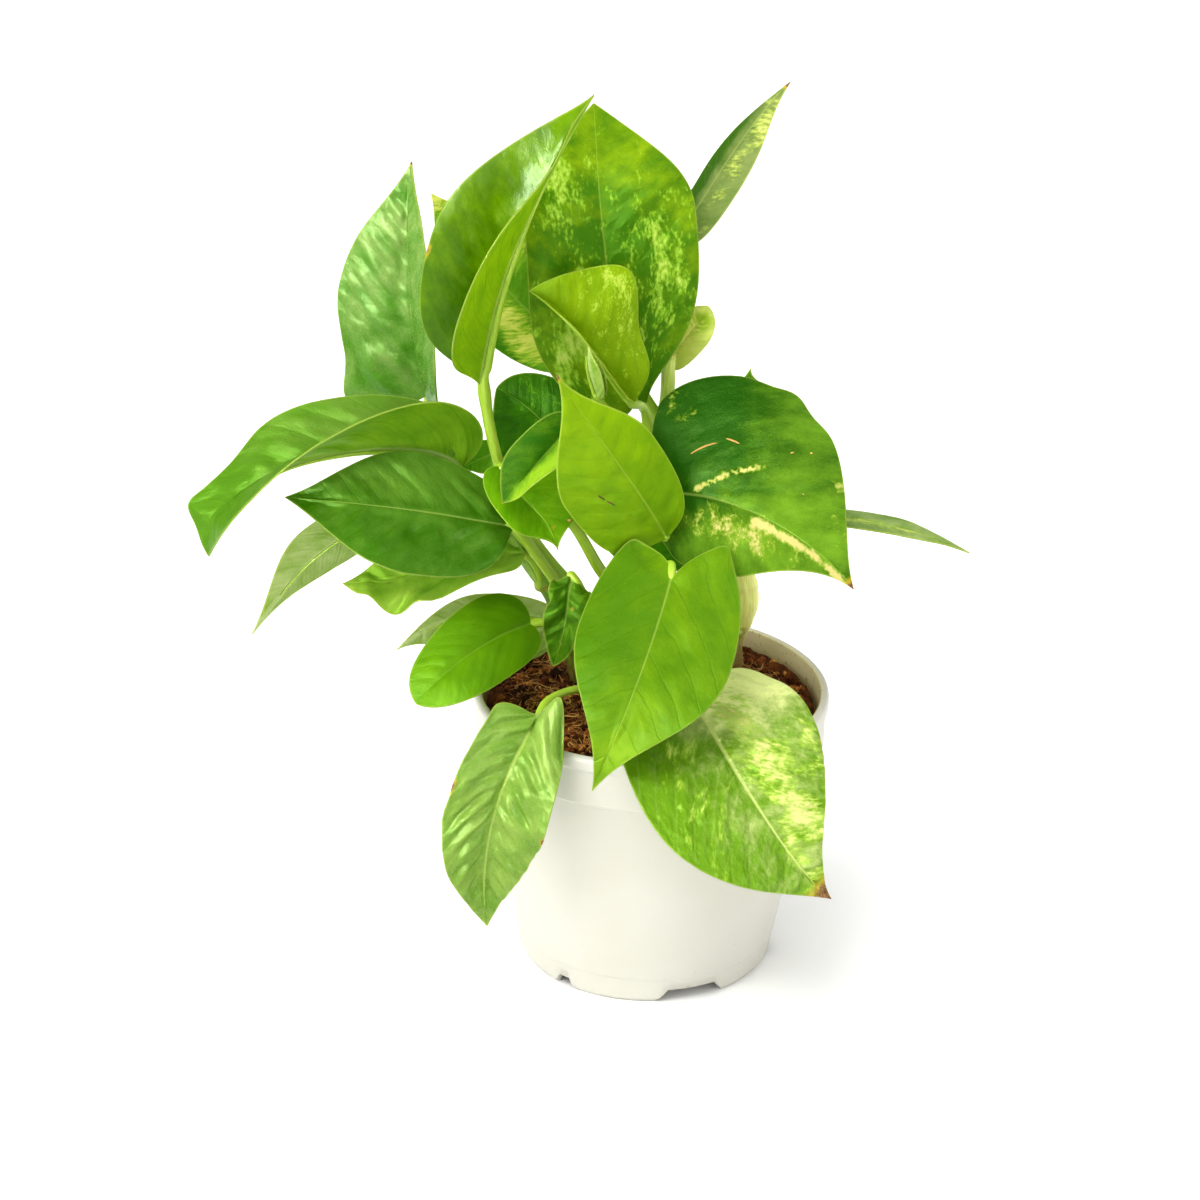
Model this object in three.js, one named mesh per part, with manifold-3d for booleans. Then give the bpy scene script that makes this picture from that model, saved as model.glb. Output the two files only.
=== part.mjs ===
// Potted pothos plant in a white nursery pot, in millimetres.
// The origin is the centre of the pot's foot on the ground; +Z is up and -Y is the front.
import * as THREE from "three";
import Module from "manifold-3d";

const wasm = await Module();
wasm.setup();

// Pot: the rim is 105 mm wide and the pot 87.5 mm tall
const POT_HEIGHT = 87.5;
const RIM_RADIUS = 52.5;
const LIP_RADIUS = 53.5;
const LIP_HEIGHT = 4;
const COLLAR_RADIUS = 52.6;
const COLLAR_Z = 72;
const BODY_TOP_RADIUS = 51.6;
const BAND_Z = 8.6;
const BAND_RADIUS = 39.6;
const FOOT_RADIUS = 39;
const WALL = 1.4;
const BASE_Z = 4.6;
const POT_SIDES = 48;

// Round boss that stands under the middle of the base, and the drain holes around it
const BOSS_RADIUS = 6;
const DRAIN_RADIUS = 4;
const DRAIN_RING = 24;
const DRAIN_COUNT = 5;

// Notches in the foot ring, wide and narrow by turns
const WIDE_NOTCH = { width: 24, top: 15, height: 4.2, angle: 21 };
const NARROW_NOTCH = { width: 6.6, top: 4.4, height: 3.6, angle: -39 };

// Growing medium: it fills the pot to 6 mm under the rim
const SOIL_TOP = 81.5;
const SOIL_DOME = 1.6;
const SOIL_LUMP = 1.1;
const CLEAR = 0.3;

// Blades and stalks
const BLADE = 0.8;
const STALK_RADIUS = [1.5, 1.15];
const STALK_SIDES = 6;
const STALK_STEPS = 7;
const VINE_SIDES = 8;
const VINE_STEPS = 15;
const LONG_BLADE = 42;

const COLOURS = {
  fresh: 0x5fa62a,
  lime: 0x8fc31e,
  deep: 0x2f7d22,
  marbled: 0x6fae38,
  stem: 0x9dbb52,
  soil: 0x5a2f18,
  pot: 0xf2f2ea,
};

// Each leaf. rib: the four points that the midrib runs through, from the stalk to the tip.
// face: the way the upper side looks at the base and at the tip. half: the width of the left and
// the right half. fold: the rise of each half in degrees, at the base and at the tip. curl: how
// far each half bends further towards its margin. lobe, wide, tip: the outline. wave: the height,
// the number and the start of the ripples along the margin. stalk: the route from the vine.
const LEAVES = [
  {name: "leaf_upper_left", colour: "fresh",
    rib: [[-68, 22, 170], [-72, 20, 195], [-73, 22, 219], [-72, 26, 240]],
    face: [[-0.6, -0.8, 0.1], [-0.5, -0.85, 0.1]], half: [22, 21],
    fold: [[28, 40], [30, 34]], curl: [-12, -8],
    lobe: 0.03, wide: 0.36, tip: [0.35, 0.22], wave: [0.6, 3, 0.1],
    stalk: [[-45, 1, 140], [-58, 10, 147], [-67, 17, 158]], on: "vine_left"},
  {name: "leaf_top_folded", colour: "lime",
    rib: [[-51, -6, 184], [-45, -10, 214], [-35, -8, 241], [-20, 2, 267]],
    face: [[-0.7, -0.66, 0.26], [-0.7, -0.66, 0.26]], half: [23, 22],
    fold: [[52, 80], [45, 60]], curl: [-10, -12],
    lobe: -0.06, wide: 0.44, tip: [0.30, 0.28], wave: [0.4, 2, 0.2],
    stalk: [[-10, 8, 104], [-26, 0, 121], [-40, -4, 143], [-47, -5, 165]], on: "vine_front"},
  {name: "leaf_top_centre", colour: "marbled",
    rib: [[-5, 8, 174], [-14, 10, 208], [-18, 14, 236], [-20, 26, 258]],
    face: [[0, -0.9, 0.3], [0, -0.9, 0.4]], half: [22, 27],
    fold: [8, 8], curl: [-16, -18],
    lobe: 0.03, wide: 0.55, tip: [0.45, 0.62], wave: [0.6, 2.5, 0.3],
    stalk: [[3, 16, 158], [-1, 12, 166]], on: "vine_back"},
  {name: "leaf_centre_folded", colour: "lime",
    rib: [[-7, -6, 179], [-16, -9, 192], [-25, -10, 204], [-37, -8, 213]],
    face: [[0.54, -0.71, 0.46], [0.54, -0.71, 0.46]], half: [9, 20],
    fold: [55, 42], curl: [0, -24],
    lobe: -0.04, wide: 0.55, tip: [0.30, 0.6], wave: [0.4, 2, 0.2],
    stalk: [[-2, 4, 165], [-4, 4, 174]], on: "vine_front"},
  {name: "leaf_centre_lime", colour: "lime",
    rib: [[3, -22, 144], [-6, -27, 161], [-17, -30, 178], [-29, -32, 197]],
    face: [[0.1, -0.92, 0.4], [0.1, -0.88, 0.45]], half: [20, 12.5],
    fold: [14, 14], curl: [-8, -8],
    lobe: -0.04, wide: 0.52, tip: [0.40, 0.12], wave: [0.4, 2, 0.2],
    stalk: [[-4, 3, 149], [-8, -9, 154], [-3, -19, 149]], on: "vine_front"},
  {name: "leaf_right_dark", colour: "deep",
    rib: [[2, -12, 154], [20, -18, 154], [39, -27, 148], [56, -35, 135]],
    face: [[0.1, -0.88, 0.45], [0.35, -0.8, 0.4]], half: [37.5, 21.5],
    fold: [4, 4], curl: [-14, -14],
    lobe: 0.06, wide: 0.36, tip: [0.38, 0.20], wave: [1.2, 2.5, 0.1],
    stalk: [[22, 14, 139], [13, 4, 150], [6, -7, 155]], on: "vine_right"},
  {name: "leaf_lower_right", colour: "marbled",
    rib: [[12, -34, 97], [25, -57, 85], [39, -64, 66], [52, -62, 50]],
    face: [[0.25, -0.7, 0.65], [0.3, -0.8, 0.4]], half: [27, 30],
    fold: [8, 8], curl: [-14, -14],
    lobe: 0.08, wide: 0.28, tip: [0.38, 0.15], wave: [1.0, 2.5, 0.3],
    stalk: [[26, 22, 95], [22, 4, 104], [16, -18, 105]], on: "vine_right"},
  {name: "leaf_lower_left", colour: "fresh",
    rib: [[-33, -46, 97], [-42, -56, 82], [-47, -58, 60], [-47, -50, 32]],
    face: [[0, -0.8, 0.6], [0, -1, 0.1]], half: [15.5, 15],
    fold: [6, 30], curl: [-10, -8],
    lobe: 0.01, wide: 0.50, tip: [0.35, 0.4], wave: [1.0, 3, 0.1],
    stalk: [[-12, -8, 88], [-21, -22, 96], [-30, -38, 100]], on: "vine_low"},
  {name: "leaf_left_oval", colour: "fresh",
    rib: [[-36, -14, 113], [-47, -26, 113], [-58, -34, 108], [-68, -38, 98]],
    face: [[0.1, -0.8, 0.6], [-0.1, -0.85, 0.5]], half: [12, 14.5],
    fold: [6, 6], curl: [-12, -12],
    lobe: 0.03, wide: 0.50, tip: [0.10, 0.65], wave: [0.4, 2, 0.1],
    stalk: [[-12, -8, 92], [-22, -11, 104], [-31, -12, 112]], on: "vine_low"},
  {name: "leaf_left_pale", colour: "fresh",
    rib: [[-29, 0, 107], [-45, 0, 110], [-61, -2, 108], [-76, -4, 99]],
    face: [[0, 0.9, 0.2], [0, 0.9, 0.2]], half: [7, 20],
    fold: [6, 6], curl: [-6, -6],
    lobe: 0.04, wide: 0.40, tip: [0.35, 0.15], wave: [0.5, 2, 0.1],
    stalk: [[-25, 8, 98], [-27, 5, 104]], on: "vine_left"},
  {name: "leaf_front_heart", colour: "fresh",
    rib: [[4, -38, 138], [-2, -52, 122], [-9, -63, 106], [-17, -67, 86]],
    face: [[0, -0.75, 0.65], [0, -0.85, 0.5]], half: [23.5, 21],
    fold: [8, 8], curl: [-14, -14],
    lobe: 0.17, wide: 0.30, tip: [0.40, 0.22], wave: [0.4, 2, 0.1],
    stalk: [[-7, 5, 112], [-3, -9, 120], [1, -23, 132], [4, -33, 141]], on: "vine_front"},
  {name: "leaf_left_arching", colour: "fresh",
    rib: [[-57, -1, 156], [-80, -7, 164], [-113, -13, 157], [-129, -15, 133]],
    face: [[0, -0.35, 0.94], [-0.6, -0.5, 0.5]], half: [19, 16],
    fold: [[115, 45], [5, 25]], curl: [-10, -10],
    lobe: 0.0, wide: 0.48, tip: [0.26, 0.6], wave: [0.6, 2.5, 0.1],
    stalk: [[-43, -1, 136], [-48, -4, 145], [-54, -3, 152]], on: "vine_left"},
  {name: "leaf_left_broad", colour: "deep",
    rib: [[-41, -12, 143], [-63, -18, 149], [-84, -22, 153], [-106, -20, 154]],
    face: [[0, -0.8, 0.6], [0, -0.7, 0.7]], half: [19, 18],
    fold: [5, 5], curl: [-12, -12],
    lobe: -0.02, wide: 0.44, tip: [0.35, 0.36], wave: [0.5, 2.5, 0.1],
    stalk: [[-24, 9, 95], [-25, -2, 114], [-36, -9, 135]], on: "vine_left"},
  {name: "leaf_left_drooping", colour: "fresh",
    rib: [[-79, -1, 142], [-93, -4, 134], [-105, -7, 124], [-118, -10, 106]],
    face: [[-0.5, 0.7, 0.3], [-0.5, 0.7, 0.3]], half: [12, 12],
    fold: [8, 8], curl: [-6, -6],
    lobe: 0.0, wide: 0.38, tip: [0.35, 0.2], wave: [0.4, 2, 0.1],
    stalk: [[-38, 1, 129], [-54, 3, 138], [-68, 2, 143]], on: "vine_left"},
  {name: "leaf_left_wavy", colour: "deep",
    rib: [[-38, -4, 131], [-55, -6, 128], [-74, -8, 124], [-91, -10, 123]],
    face: [[0, -0.7, 0.7], [0, -0.7, 0.7]], half: [12, 8],
    fold: [5, 5], curl: [-12, -12],
    lobe: -0.02, wide: 0.62, tip: [0.25, 0.2], wave: [2.4, 3, 0.1],
    stalk: [[-33, 2, 118], [-35, -2, 127]], on: "vine_left"},
  {name: "leaf_small_torn", colour: "deep",
    rib: [[-24, -24, 133], [-25, -26, 126], [-26, -27, 117], [-29, -26, 105]],
    face: [[0, -0.9, 0.4], [0, -0.9, 0.4]], half: [6.5, 6.5],
    fold: [10, 10], curl: [-10, -10],
    lobe: 0.02, wide: 0.50, tip: [0.2, 0.6], wave: [0.8, 2, 0.1],
    stalk: [[-11, -9, 97], [-15, -17, 113], [-21, -23, 128]], on: "vine_low"},
  {name: "leaf_behind_centre", colour: "deep",
    rib: [[-20, 8, 155], [-28, 9, 162], [-37, 11, 170], [-47, 13, 176]],
    face: [[0, -0.85, 0.5], [0, -0.85, 0.5]], half: [16, 13],
    fold: [6, 6], curl: [-10, -10],
    lobe: 0.08, wide: 0.50, tip: [0.1, 0.6], wave: [0.4, 2, 0.1],
    stalk: [[-5, 5, 138], [-12, 7, 148]], on: "vine_front"},
  {name: "leaf_centre_small", colour: "deep",
    rib: [[-24, -16, 177], [-30, -20, 171], [-37, -22, 163], [-44, -22, 154]],
    face: [[-0.2, -0.85, -0.4], [-0.2, -0.85, -0.4]], half: [8, 9.5],
    fold: [58, 12], curl: [0, -14],
    lobe: 0.0, wide: 0.55, tip: [0.3, 0.4], wave: [0.3, 2, 0.1],
    stalk: [[-3, 3, 154], [-11, -7, 165], [-19, -14, 176]], on: "vine_front"},
  {name: "leaf_centre_pointed", colour: "deep",
    rib: [[-45, -11, 161], [-40, -15, 155], [-33, -18, 148], [-28, -20, 139]],
    face: [[0.2, -0.8, 0.6], [0.3, -0.9, 0.2]], half: [15, 9],
    fold: [6, 14], curl: [-12, -8],
    lobe: 0.02, wide: 0.55, tip: [0.35, 0.05], wave: [0.8, 2, 0.1],
    stalk: [[-8, 6, 116], [-15, -6, 126], [-24, -10, 143], [-37, -11, 157]], on: "vine_front"},
  {name: "leaf_centre_under", colour: "deep",
    rib: [[-14, -4, 141], [-7, -7, 136], [0, -9, 133], [10, -9, 129]],
    face: [[0, -0.6, 0.8], [0, -0.6, 0.8]], half: [8, 7],
    fold: [6, 6], curl: [-8, -8],
    lobe: 0.0, wide: 0.55, tip: [0.3, 0.4], wave: [0.4, 2, 0.1],
    stalk: [[-6, 4, 122], [-12, 2, 131], [-15, -1, 138]], on: "vine_front"},
  {name: "leaf_far_right", colour: "deep",
    rib: [[43, 8, 140], [61, 6, 139], [78, 4, 136], [93, 2, 131]],
    face: [[0, 0.05, 1], [0, 0.05, 1]], half: [8, 8],
    fold: [6, 6], curl: [-8, -8],
    lobe: 0.02, wide: 0.40, tip: [0.35, 0.25], wave: [0.3, 2, 0.1],
    stalk: [[25, 16, 128], [33, 12, 138]], on: "vine_right"},
  {name: "leaf_top_right", colour: "marbled",
    rib: [[4, 22, 219], [13, 30, 231], [24, 38, 246], [37, 46, 260]],
    face: [[-0.7, -0.75, 0.1], [-0.7, -0.75, 0.1]], half: [8, 8],
    fold: [-16, -16], curl: [-8, -8],
    lobe: 0.02, wide: 0.42, tip: [0.35, 0.3], wave: [0.3, 2, 0.1],
    stalk: [[3, 14, 183], [1, 18, 200]], on: "vine_back"},
  {name: "leaf_right_yellow", colour: "marbled",
    rib: [[3, 20, 182], [7, 19, 189], [11, 18, 195], [14, 17, 201]],
    face: [[0, -0.9, 0.4], [0, -0.9, 0.4]], half: [6, 6],
    fold: [10, 10], curl: [-8, -8],
    lobe: 0.04, wide: 0.55, tip: [0.1, 0.6], wave: [0.3, 2, 0.1],
    stalk: [[3, 15, 170], [4, 20, 177]], on: "vine_back"},
  {name: "leaf_behind_striped", colour: "marbled",
    rib: [[-23, 20, 188], [-40, 21, 199], [-54, 20, 216], [-66, 18, 233]],
    face: [[0, -0.9, 0.4], [0, -0.9, 0.4]], half: [15, 13],
    fold: [6, 6], curl: [-8, -8],
    lobe: 0.04, wide: 0.50, tip: [0.35, 0.3], wave: [0.3, 2, 0.1],
    stalk: [[3, 16, 163], [-8, 20, 178]], on: "vine_back"},
  {name: "leaf_behind_right", colour: "deep",
    rib: [[30, 10, 166], [29, 11, 172], [27, 11, 178], [27, 12, 184]],
    face: [[0, -0.9, 0.4], [0, -0.9, 0.4]], half: [7, 7],
    fold: [10, 10], curl: [-8, -8],
    lobe: 0.04, wide: 0.45, tip: [0.4, 0.1], wave: [0.3, 2, 0.1],
    stalk: [[23, 15, 138], [28, 9, 152]], on: "vine_right"},
  {name: "leaf_left_behind", colour: "fresh",
    rib: [[-46, 13, 157], [-50, 12, 155], [-54, 12, 153], [-58, 11, 150]],
    face: [[0, -0.9, 0.4], [0, -0.9, 0.4]], half: [4.5, 5],
    fold: [10, 10], curl: [-8, -8],
    lobe: 0.0, wide: 0.45, tip: [0.4, 0.2], wave: [0.3, 2, 0.1],
    stalk: [[-37, 3, 125], [-37, 11, 140], [-42, 13, 152]], on: "vine_left"},
  {name: "leaf_unfurling", colour: "marbled", slim: 0.6,
    rib: [[-17, -18, 185], [-19, -19, 191], [-20, -20, 196], [-20, -20, 201]],
    face: [[0.9, -0.4, 0.1], [0.9, -0.4, 0.1]], half: [4, 4],
    fold: [60, 60], curl: [30, 30],
    lobe: 0.0, wide: 0.45, tip: [0.3, 0.4], wave: [0, 2, 0.1],
    stalk: [[-3, 3, 160], [-9, -6, 172], [-14, -14, 180]], on: "vine_front"},
];

const VINES = [
  {name: "vine_left", joints: 5,
    route: [[-21, 15, 66], [-22, 12, 84], [-29, 4, 112], [-37, 0, 127], [-45, -1, 142]], radius: [2.8, 2.3]},
  {name: "vine_front", joints: 7,
    route: [[-8, 14, 66], [-9, 12, 86], [-8, 6, 112], [-4, 2, 138], [-2, 3, 166]], radius: [2.8, 2.2]},
  {name: "vine_right", joints: 5,
    route: [[26, 28, 66], [26, 26, 86], [28, 22, 105], [27, 18, 122], [21, 14, 142]], radius: [3.2, 2.4]},
  {name: "vine_back", joints: 7,
    route: [[6, 34, 66], [6, 33, 86], [4, 26, 120], [3, 17, 158], [3, 12, 188]], radius: [2.6, 2.0]},
  {name: "vine_low", joints: 2,
    route: [[-12, -8, 66], [-12, -8, 84], [-11, -9, 101]], radius: [2.6, 2.3]},
];

// Small vector helpers on arrays of three numbers
const add = (a, b) => a.map((v, i) => v + b[i]);
const sub = (a, b) => a.map((v, i) => v - b[i]);
const scale = (a, k) => a.map((v) => v * k);
const dot = (a, b) => a[0] * b[0] + a[1] * b[1] + a[2] * b[2];
const unit = (a) => scale(a, 1 / Math.hypot(...a));
const mix = (a, b, k) => a.map((v, i) => v * (1 - k) + b[i] * k);
const cross = (a, b) => [
  a[1] * b[2] - a[2] * b[1],
  a[2] * b[0] - a[0] * b[2],
  a[0] * b[1] - a[1] * b[0],
];
const radians = (degrees) => (degrees * Math.PI) / 180;

// A manifold solid from points and triangles.
function solid(points, triangles) {
  return new wasm.Manifold(
    new wasm.Mesh({
      numProp: 3,
      vertProperties: new Float32Array(points.flat()),
      triVerts: new Uint32Array(triangles.flat()),
    }),
  );
}

// The biggest piece of a solid, without the specks that a cut leaves.
function largest(made) {
  return made.decompose().sort((a, b) => b.volume() - a.volume())[0];
}

function mesh(name, made, colour, roughness) {
  const data = made.getMesh();
  const geometry = new THREE.BufferGeometry();
  const flat = new Float32Array(data.numVert * 3);
  for (let i = 0; i < data.numVert; i++) {
    flat.set(data.vertProperties.subarray(i * data.numProp, i * data.numProp + 3), i * 3);
  }
  geometry.setAttribute("position", new THREE.BufferAttribute(flat, 3));
  geometry.setIndex(new THREE.BufferAttribute(data.triVerts, 1));
  geometry.computeVertexNormals();
  const material = new THREE.MeshStandardMaterial({ color: colour, roughness, metalness: 0 });
  const out = new THREE.Mesh(geometry, material);
  out.name = name;
  return out;
}

// A profile of [radius, height] points turned about the Z axis, closed on the axis at both ends.
function lathe(profile, sides) {
  const points = [];
  const triangles = [];
  const rings = profile.map(([r, z]) => {
    const start = points.length;
    const count = r === 0 ? 1 : sides;
    for (let i = 0; i < count; i++) {
      const a = (2 * Math.PI * i) / sides;
      points.push([r * Math.cos(a), r * Math.sin(a), z]);
    }
    return { start, count };
  });
  for (let k = 0; k + 1 < rings.length; k++) {
    const [low, high] = [rings[k], rings[k + 1]];
    for (let i = 0; i < sides; i++) {
      const j = (i + 1) % sides;
      const a = low.start + (low.count > 1 ? i : 0);
      const b = low.start + (low.count > 1 ? j : 0);
      const c = high.start + (high.count > 1 ? i : 0);
      const d = high.start + (high.count > 1 ? j : 0);
      if (low.count > 1) triangles.push([a, b, d]);
      if (high.count > 1) triangles.push([a, d, c]);
    }
  }
  return solid(points, triangles);
}

// Catmull-Rom curve through the points, as count + 1 points.
function route(points, count) {
  const curve = new THREE.CatmullRomCurve3(
    points.map((p) => new THREE.Vector3(...p)),
    false,
    "catmullrom",
    0.5,
  );
  return curve.getPoints(count).map((p) => [p.x, p.y, p.z]);
}

// A round rod along a route, with a pointed cap at each end; radius is a function of 0 to 1.
function rod(path, radius, sides) {
  const points = [];
  const triangles = [];
  let side = unit(cross(sub(path[1], path[0]), [0.31, 0.2, 0.93]));
  const last = path.length - 1;
  path.forEach((p, i) => {
    const t = unit(sub(path[Math.min(i + 1, last)], path[Math.max(i - 1, 0)]));
    side = unit(sub(side, scale(t, dot(side, t))));
    const up = cross(t, side);
    const r = radius(i / last);
    for (let k = 0; k < sides; k++) {
      const a = (2 * Math.PI * k) / sides;
      points.push(add(p, add(scale(side, r * Math.cos(a)), scale(up, r * Math.sin(a)))));
    }
  });
  for (let i = 0; i < last; i++) {
    for (let k = 0; k < sides; k++) {
      const a = i * sides + k;
      const b = i * sides + ((k + 1) % sides);
      triangles.push([a, b, b + sides], [a, b + sides, a + sides]);
    }
  }
  const foot = points.length;
  points.push(sub(path[0], scale(unit(sub(path[1], path[0])), radius(0) * 0.4)));
  const top = points.length;
  points.push(add(path[last], scale(unit(sub(path[last], path[last - 1])), radius(1) * 0.4)));
  for (let k = 0; k < sides; k++) {
    const next = (k + 1) % sides;
    triangles.push([next, k, foot]);
    triangles.push([last * sides + k, last * sides + next, top]);
  }
  return solid(points, triangles);
}

// Point and direction on the midrib at x; before the stalk's end it runs straight on.
function ribAt(rib, x) {
  const c = Math.min(Math.max(x, 0), 1);
  const t = 3 * c;
  const weight = [
    (-(t - 1) * (t - 2) * (t - 3)) / 6,
    (t * (t - 2) * (t - 3)) / 2,
    (-t * (t - 1) * (t - 3)) / 2,
    (t * (t - 1) * (t - 2)) / 6,
  ];
  const slope = [
    -((t - 2) * (t - 3) + (t - 1) * (t - 3) + (t - 1) * (t - 2)) / 2,
    (3 * ((t - 2) * (t - 3) + t * (t - 3) + t * (t - 2))) / 2,
    (-3 * ((t - 1) * (t - 3) + t * (t - 3) + t * (t - 1))) / 2,
    ((t - 1) * (t - 2) + t * (t - 2) + t * (t - 1)) / 2,
  ];
  let point = [0, 0, 0];
  let along = [0, 0, 0];
  rib.forEach((p, i) => {
    point = add(point, scale(p, weight[i]));
    along = add(along, scale(p, slope[i]));
  });
  return { point: add(point, scale(along, x - c)), along: unit(along) };
}

// Margin of one half at u: x along the midrib and y out from it, as shares of length and width.
function margin(u, lobe, wide, tip) {
  if (u < 0.4) {
    const t = u / 0.4;
    const m = 1 - t;
    return [
      3 * m * m * t * -2 * lobe + 3 * m * t * t * -0.8 * lobe + t ** 3 * wide,
      3 * m * m * t * (0.45 - lobe) + 3 * m * t * t + t ** 3,
    ];
  }
  const t = (u - 0.4) / 0.6;
  const m = 1 - t;
  const rest = 1 - wide;
  const near = 3 * m * m * t;
  const far = 3 * m * t * t;
  return [
    m ** 3 * wide + near * (wide + 0.42 * rest) + far * (1 - tip[0] * rest) + t ** 3,
    m ** 3 + near + far * tip[1],
  ];
}

// Middle surface of a blade at (u, v): u runs from base to tip, v from the left margin to the right.
function bladePoint(leaf, u, v) {
  const side = v < 0 ? 0 : 1;
  const out = Math.abs(v);
  const [edgeX, edgeY] = margin(u, leaf.lobe, leaf.wide, leaf.tip);
  const start = u * (0.55 + 0.45 * u);
  const x = start + (edgeX - start) * out;
  const d = edgeY * out;
  const k = Math.min(Math.max(x, 0), 1);
  const pick = (pair, at) => (Array.isArray(pair[at]) ? pair[at] : pair)[side];
  const fold = radians(pick(leaf.fold, 0) * (1 - k) + pick(leaf.fold, 1) * k);
  const curl = radians(pick(leaf.curl, 0)) + 1e-6;
  const across = (Math.sin(fold + curl * d) - Math.sin(fold)) / curl;
  const rise = (Math.cos(fold) - Math.cos(fold + curl * d)) / curl;
  const { point, along } = ribAt(leaf.rib, x);
  const facing = mix(leaf.face[0], leaf.face[1], k);
  const up = unit(sub(facing, scale(along, dot(facing, along))));
  const right = cross(along, up);
  const [height, ripples, begin] = leaf.wave;
  const ripple = height * Math.sin(2 * Math.PI * (ripples * u + begin) + 1.3 * side) * d * d;
  const half = leaf.half[side];
  return add(point, add(scale(right, Math.sign(v) * half * across), scale(up, half * rise + ripple)));
}

// A blade as a closed plate: both faces share one triangle pattern.
function blade(leaf) {
  const length = Math.hypot(...sub(leaf.rib[3], leaf.rib[0]));
  const rows = length > LONG_BLADE ? 9 : 7;
  const columns = length > LONG_BLADE ? 8 : 6;
  const middle = [];
  const normals = [];
  const step = 1e-3;
  for (let i = 0; i <= rows; i++) {
    const u = i / rows;
    const inside = Math.min(Math.max(u, 0.03), 0.97);
    for (let j = 0; j <= columns; j++) {
      const v = (2 * j) / columns - 1;
      const pole = i === 0 || i === rows;
      if (pole && j !== columns / 2) continue;
      middle.push(bladePoint(leaf, u, v));
      const alongU = sub(bladePoint(leaf, inside + step, v), bladePoint(leaf, inside - step, v));
      const w = Math.min(v + step, 1);
      const alongV = sub(bladePoint(leaf, inside, w), bladePoint(leaf, inside, w - 2 * step));
      normals.push(unit(cross(alongU, alongV)));
    }
  }
  const count = middle.length;
  const width = columns + 1;
  const points = [];
  middle.forEach((p, i) => points.push(add(p, scale(normals[i], BLADE / 2))));
  middle.forEach((p, i) => points.push(sub(p, scale(normals[i], BLADE / 2))));
  const at = (i, j) => (i === 0 ? 0 : i === rows ? count - 1 : 1 + (i - 1) * width + j);
  const face = [];
  for (let i = 0; i < rows; i++) {
    for (let j = 0; j < columns; j++) {
      const [a, b, c, d] = [at(i, j), at(i, j + 1), at(i + 1, j + 1), at(i + 1, j)];
      const flip = j < columns / 2;
      if (i === 0) face.push([a, c, d]);
      else if (i === rows - 1) face.push([a, b, c]);
      else if (flip) face.push([a, b, d], [b, c, d]);
      else face.push([a, b, c], [a, c, d]);
    }
  }
  const triangles = [];
  face.forEach(([a, b, c]) => triangles.push([a, c, b], [a + count, b + count, c + count]));
  for (let i = 0; i < rows; i++) {
    const [l0, l1, r0, r1] = [at(i, 0), at(i + 1, 0), at(i, columns), at(i + 1, columns)];
    triangles.push([l1, l0, l0 + count], [l1, l0 + count, l1 + count]);
    triangles.push([r0, r1, r1 + count], [r0, r1 + count, r0 + count]);
  }
  const made = solid(points, triangles);
  if (made.volume() > 0) return made;
  return solid(points, triangles.map(([a, b, c]) => [a, c, b]));
}

// Stalk from the axis of its vine to just inside the blade.
function stalk(leaf) {
  const into = ribAt(leaf.rib, 0.05).point;
  const path = route([...leaf.stalk, leaf.rib[0], into], STALK_STEPS);
  const slim = leaf.slim || 1;
  const [foot, top] = STALK_RADIUS;
  return rod(path, (k) => slim * (foot + (top - foot) * Math.min(1, k * 1.6)), STALK_SIDES);
}

// A vine: a rod with a thicker ring at each joint where a leaf springs.
function vine(spec, grow) {
  const path = route(spec.route, VINE_STEPS);
  const [foot, top] = spec.radius;
  const knuckle = (k) => 0.28 * Math.max(0, Math.cos(2 * Math.PI * spec.joints * k)) ** 6;
  return rod(path, (k) => foot + (top - foot) * k + knuckle(k) + grow, VINE_SIDES);
}

function notch({ width, top, height, angle }) {
  const shape = [
    [-width / 2, -1],
    [width / 2, -1],
    [top / 2, height],
    [-top / 2, height],
  ];
  const depth = 14;
  const made = wasm.Manifold.extrude([shape], depth);
  return made.rotate([90, 0, 0]).translate([0, -FOOT_RADIUS + depth / 2 - 1, 0]).rotate([0, 0, angle]);
}

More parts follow.
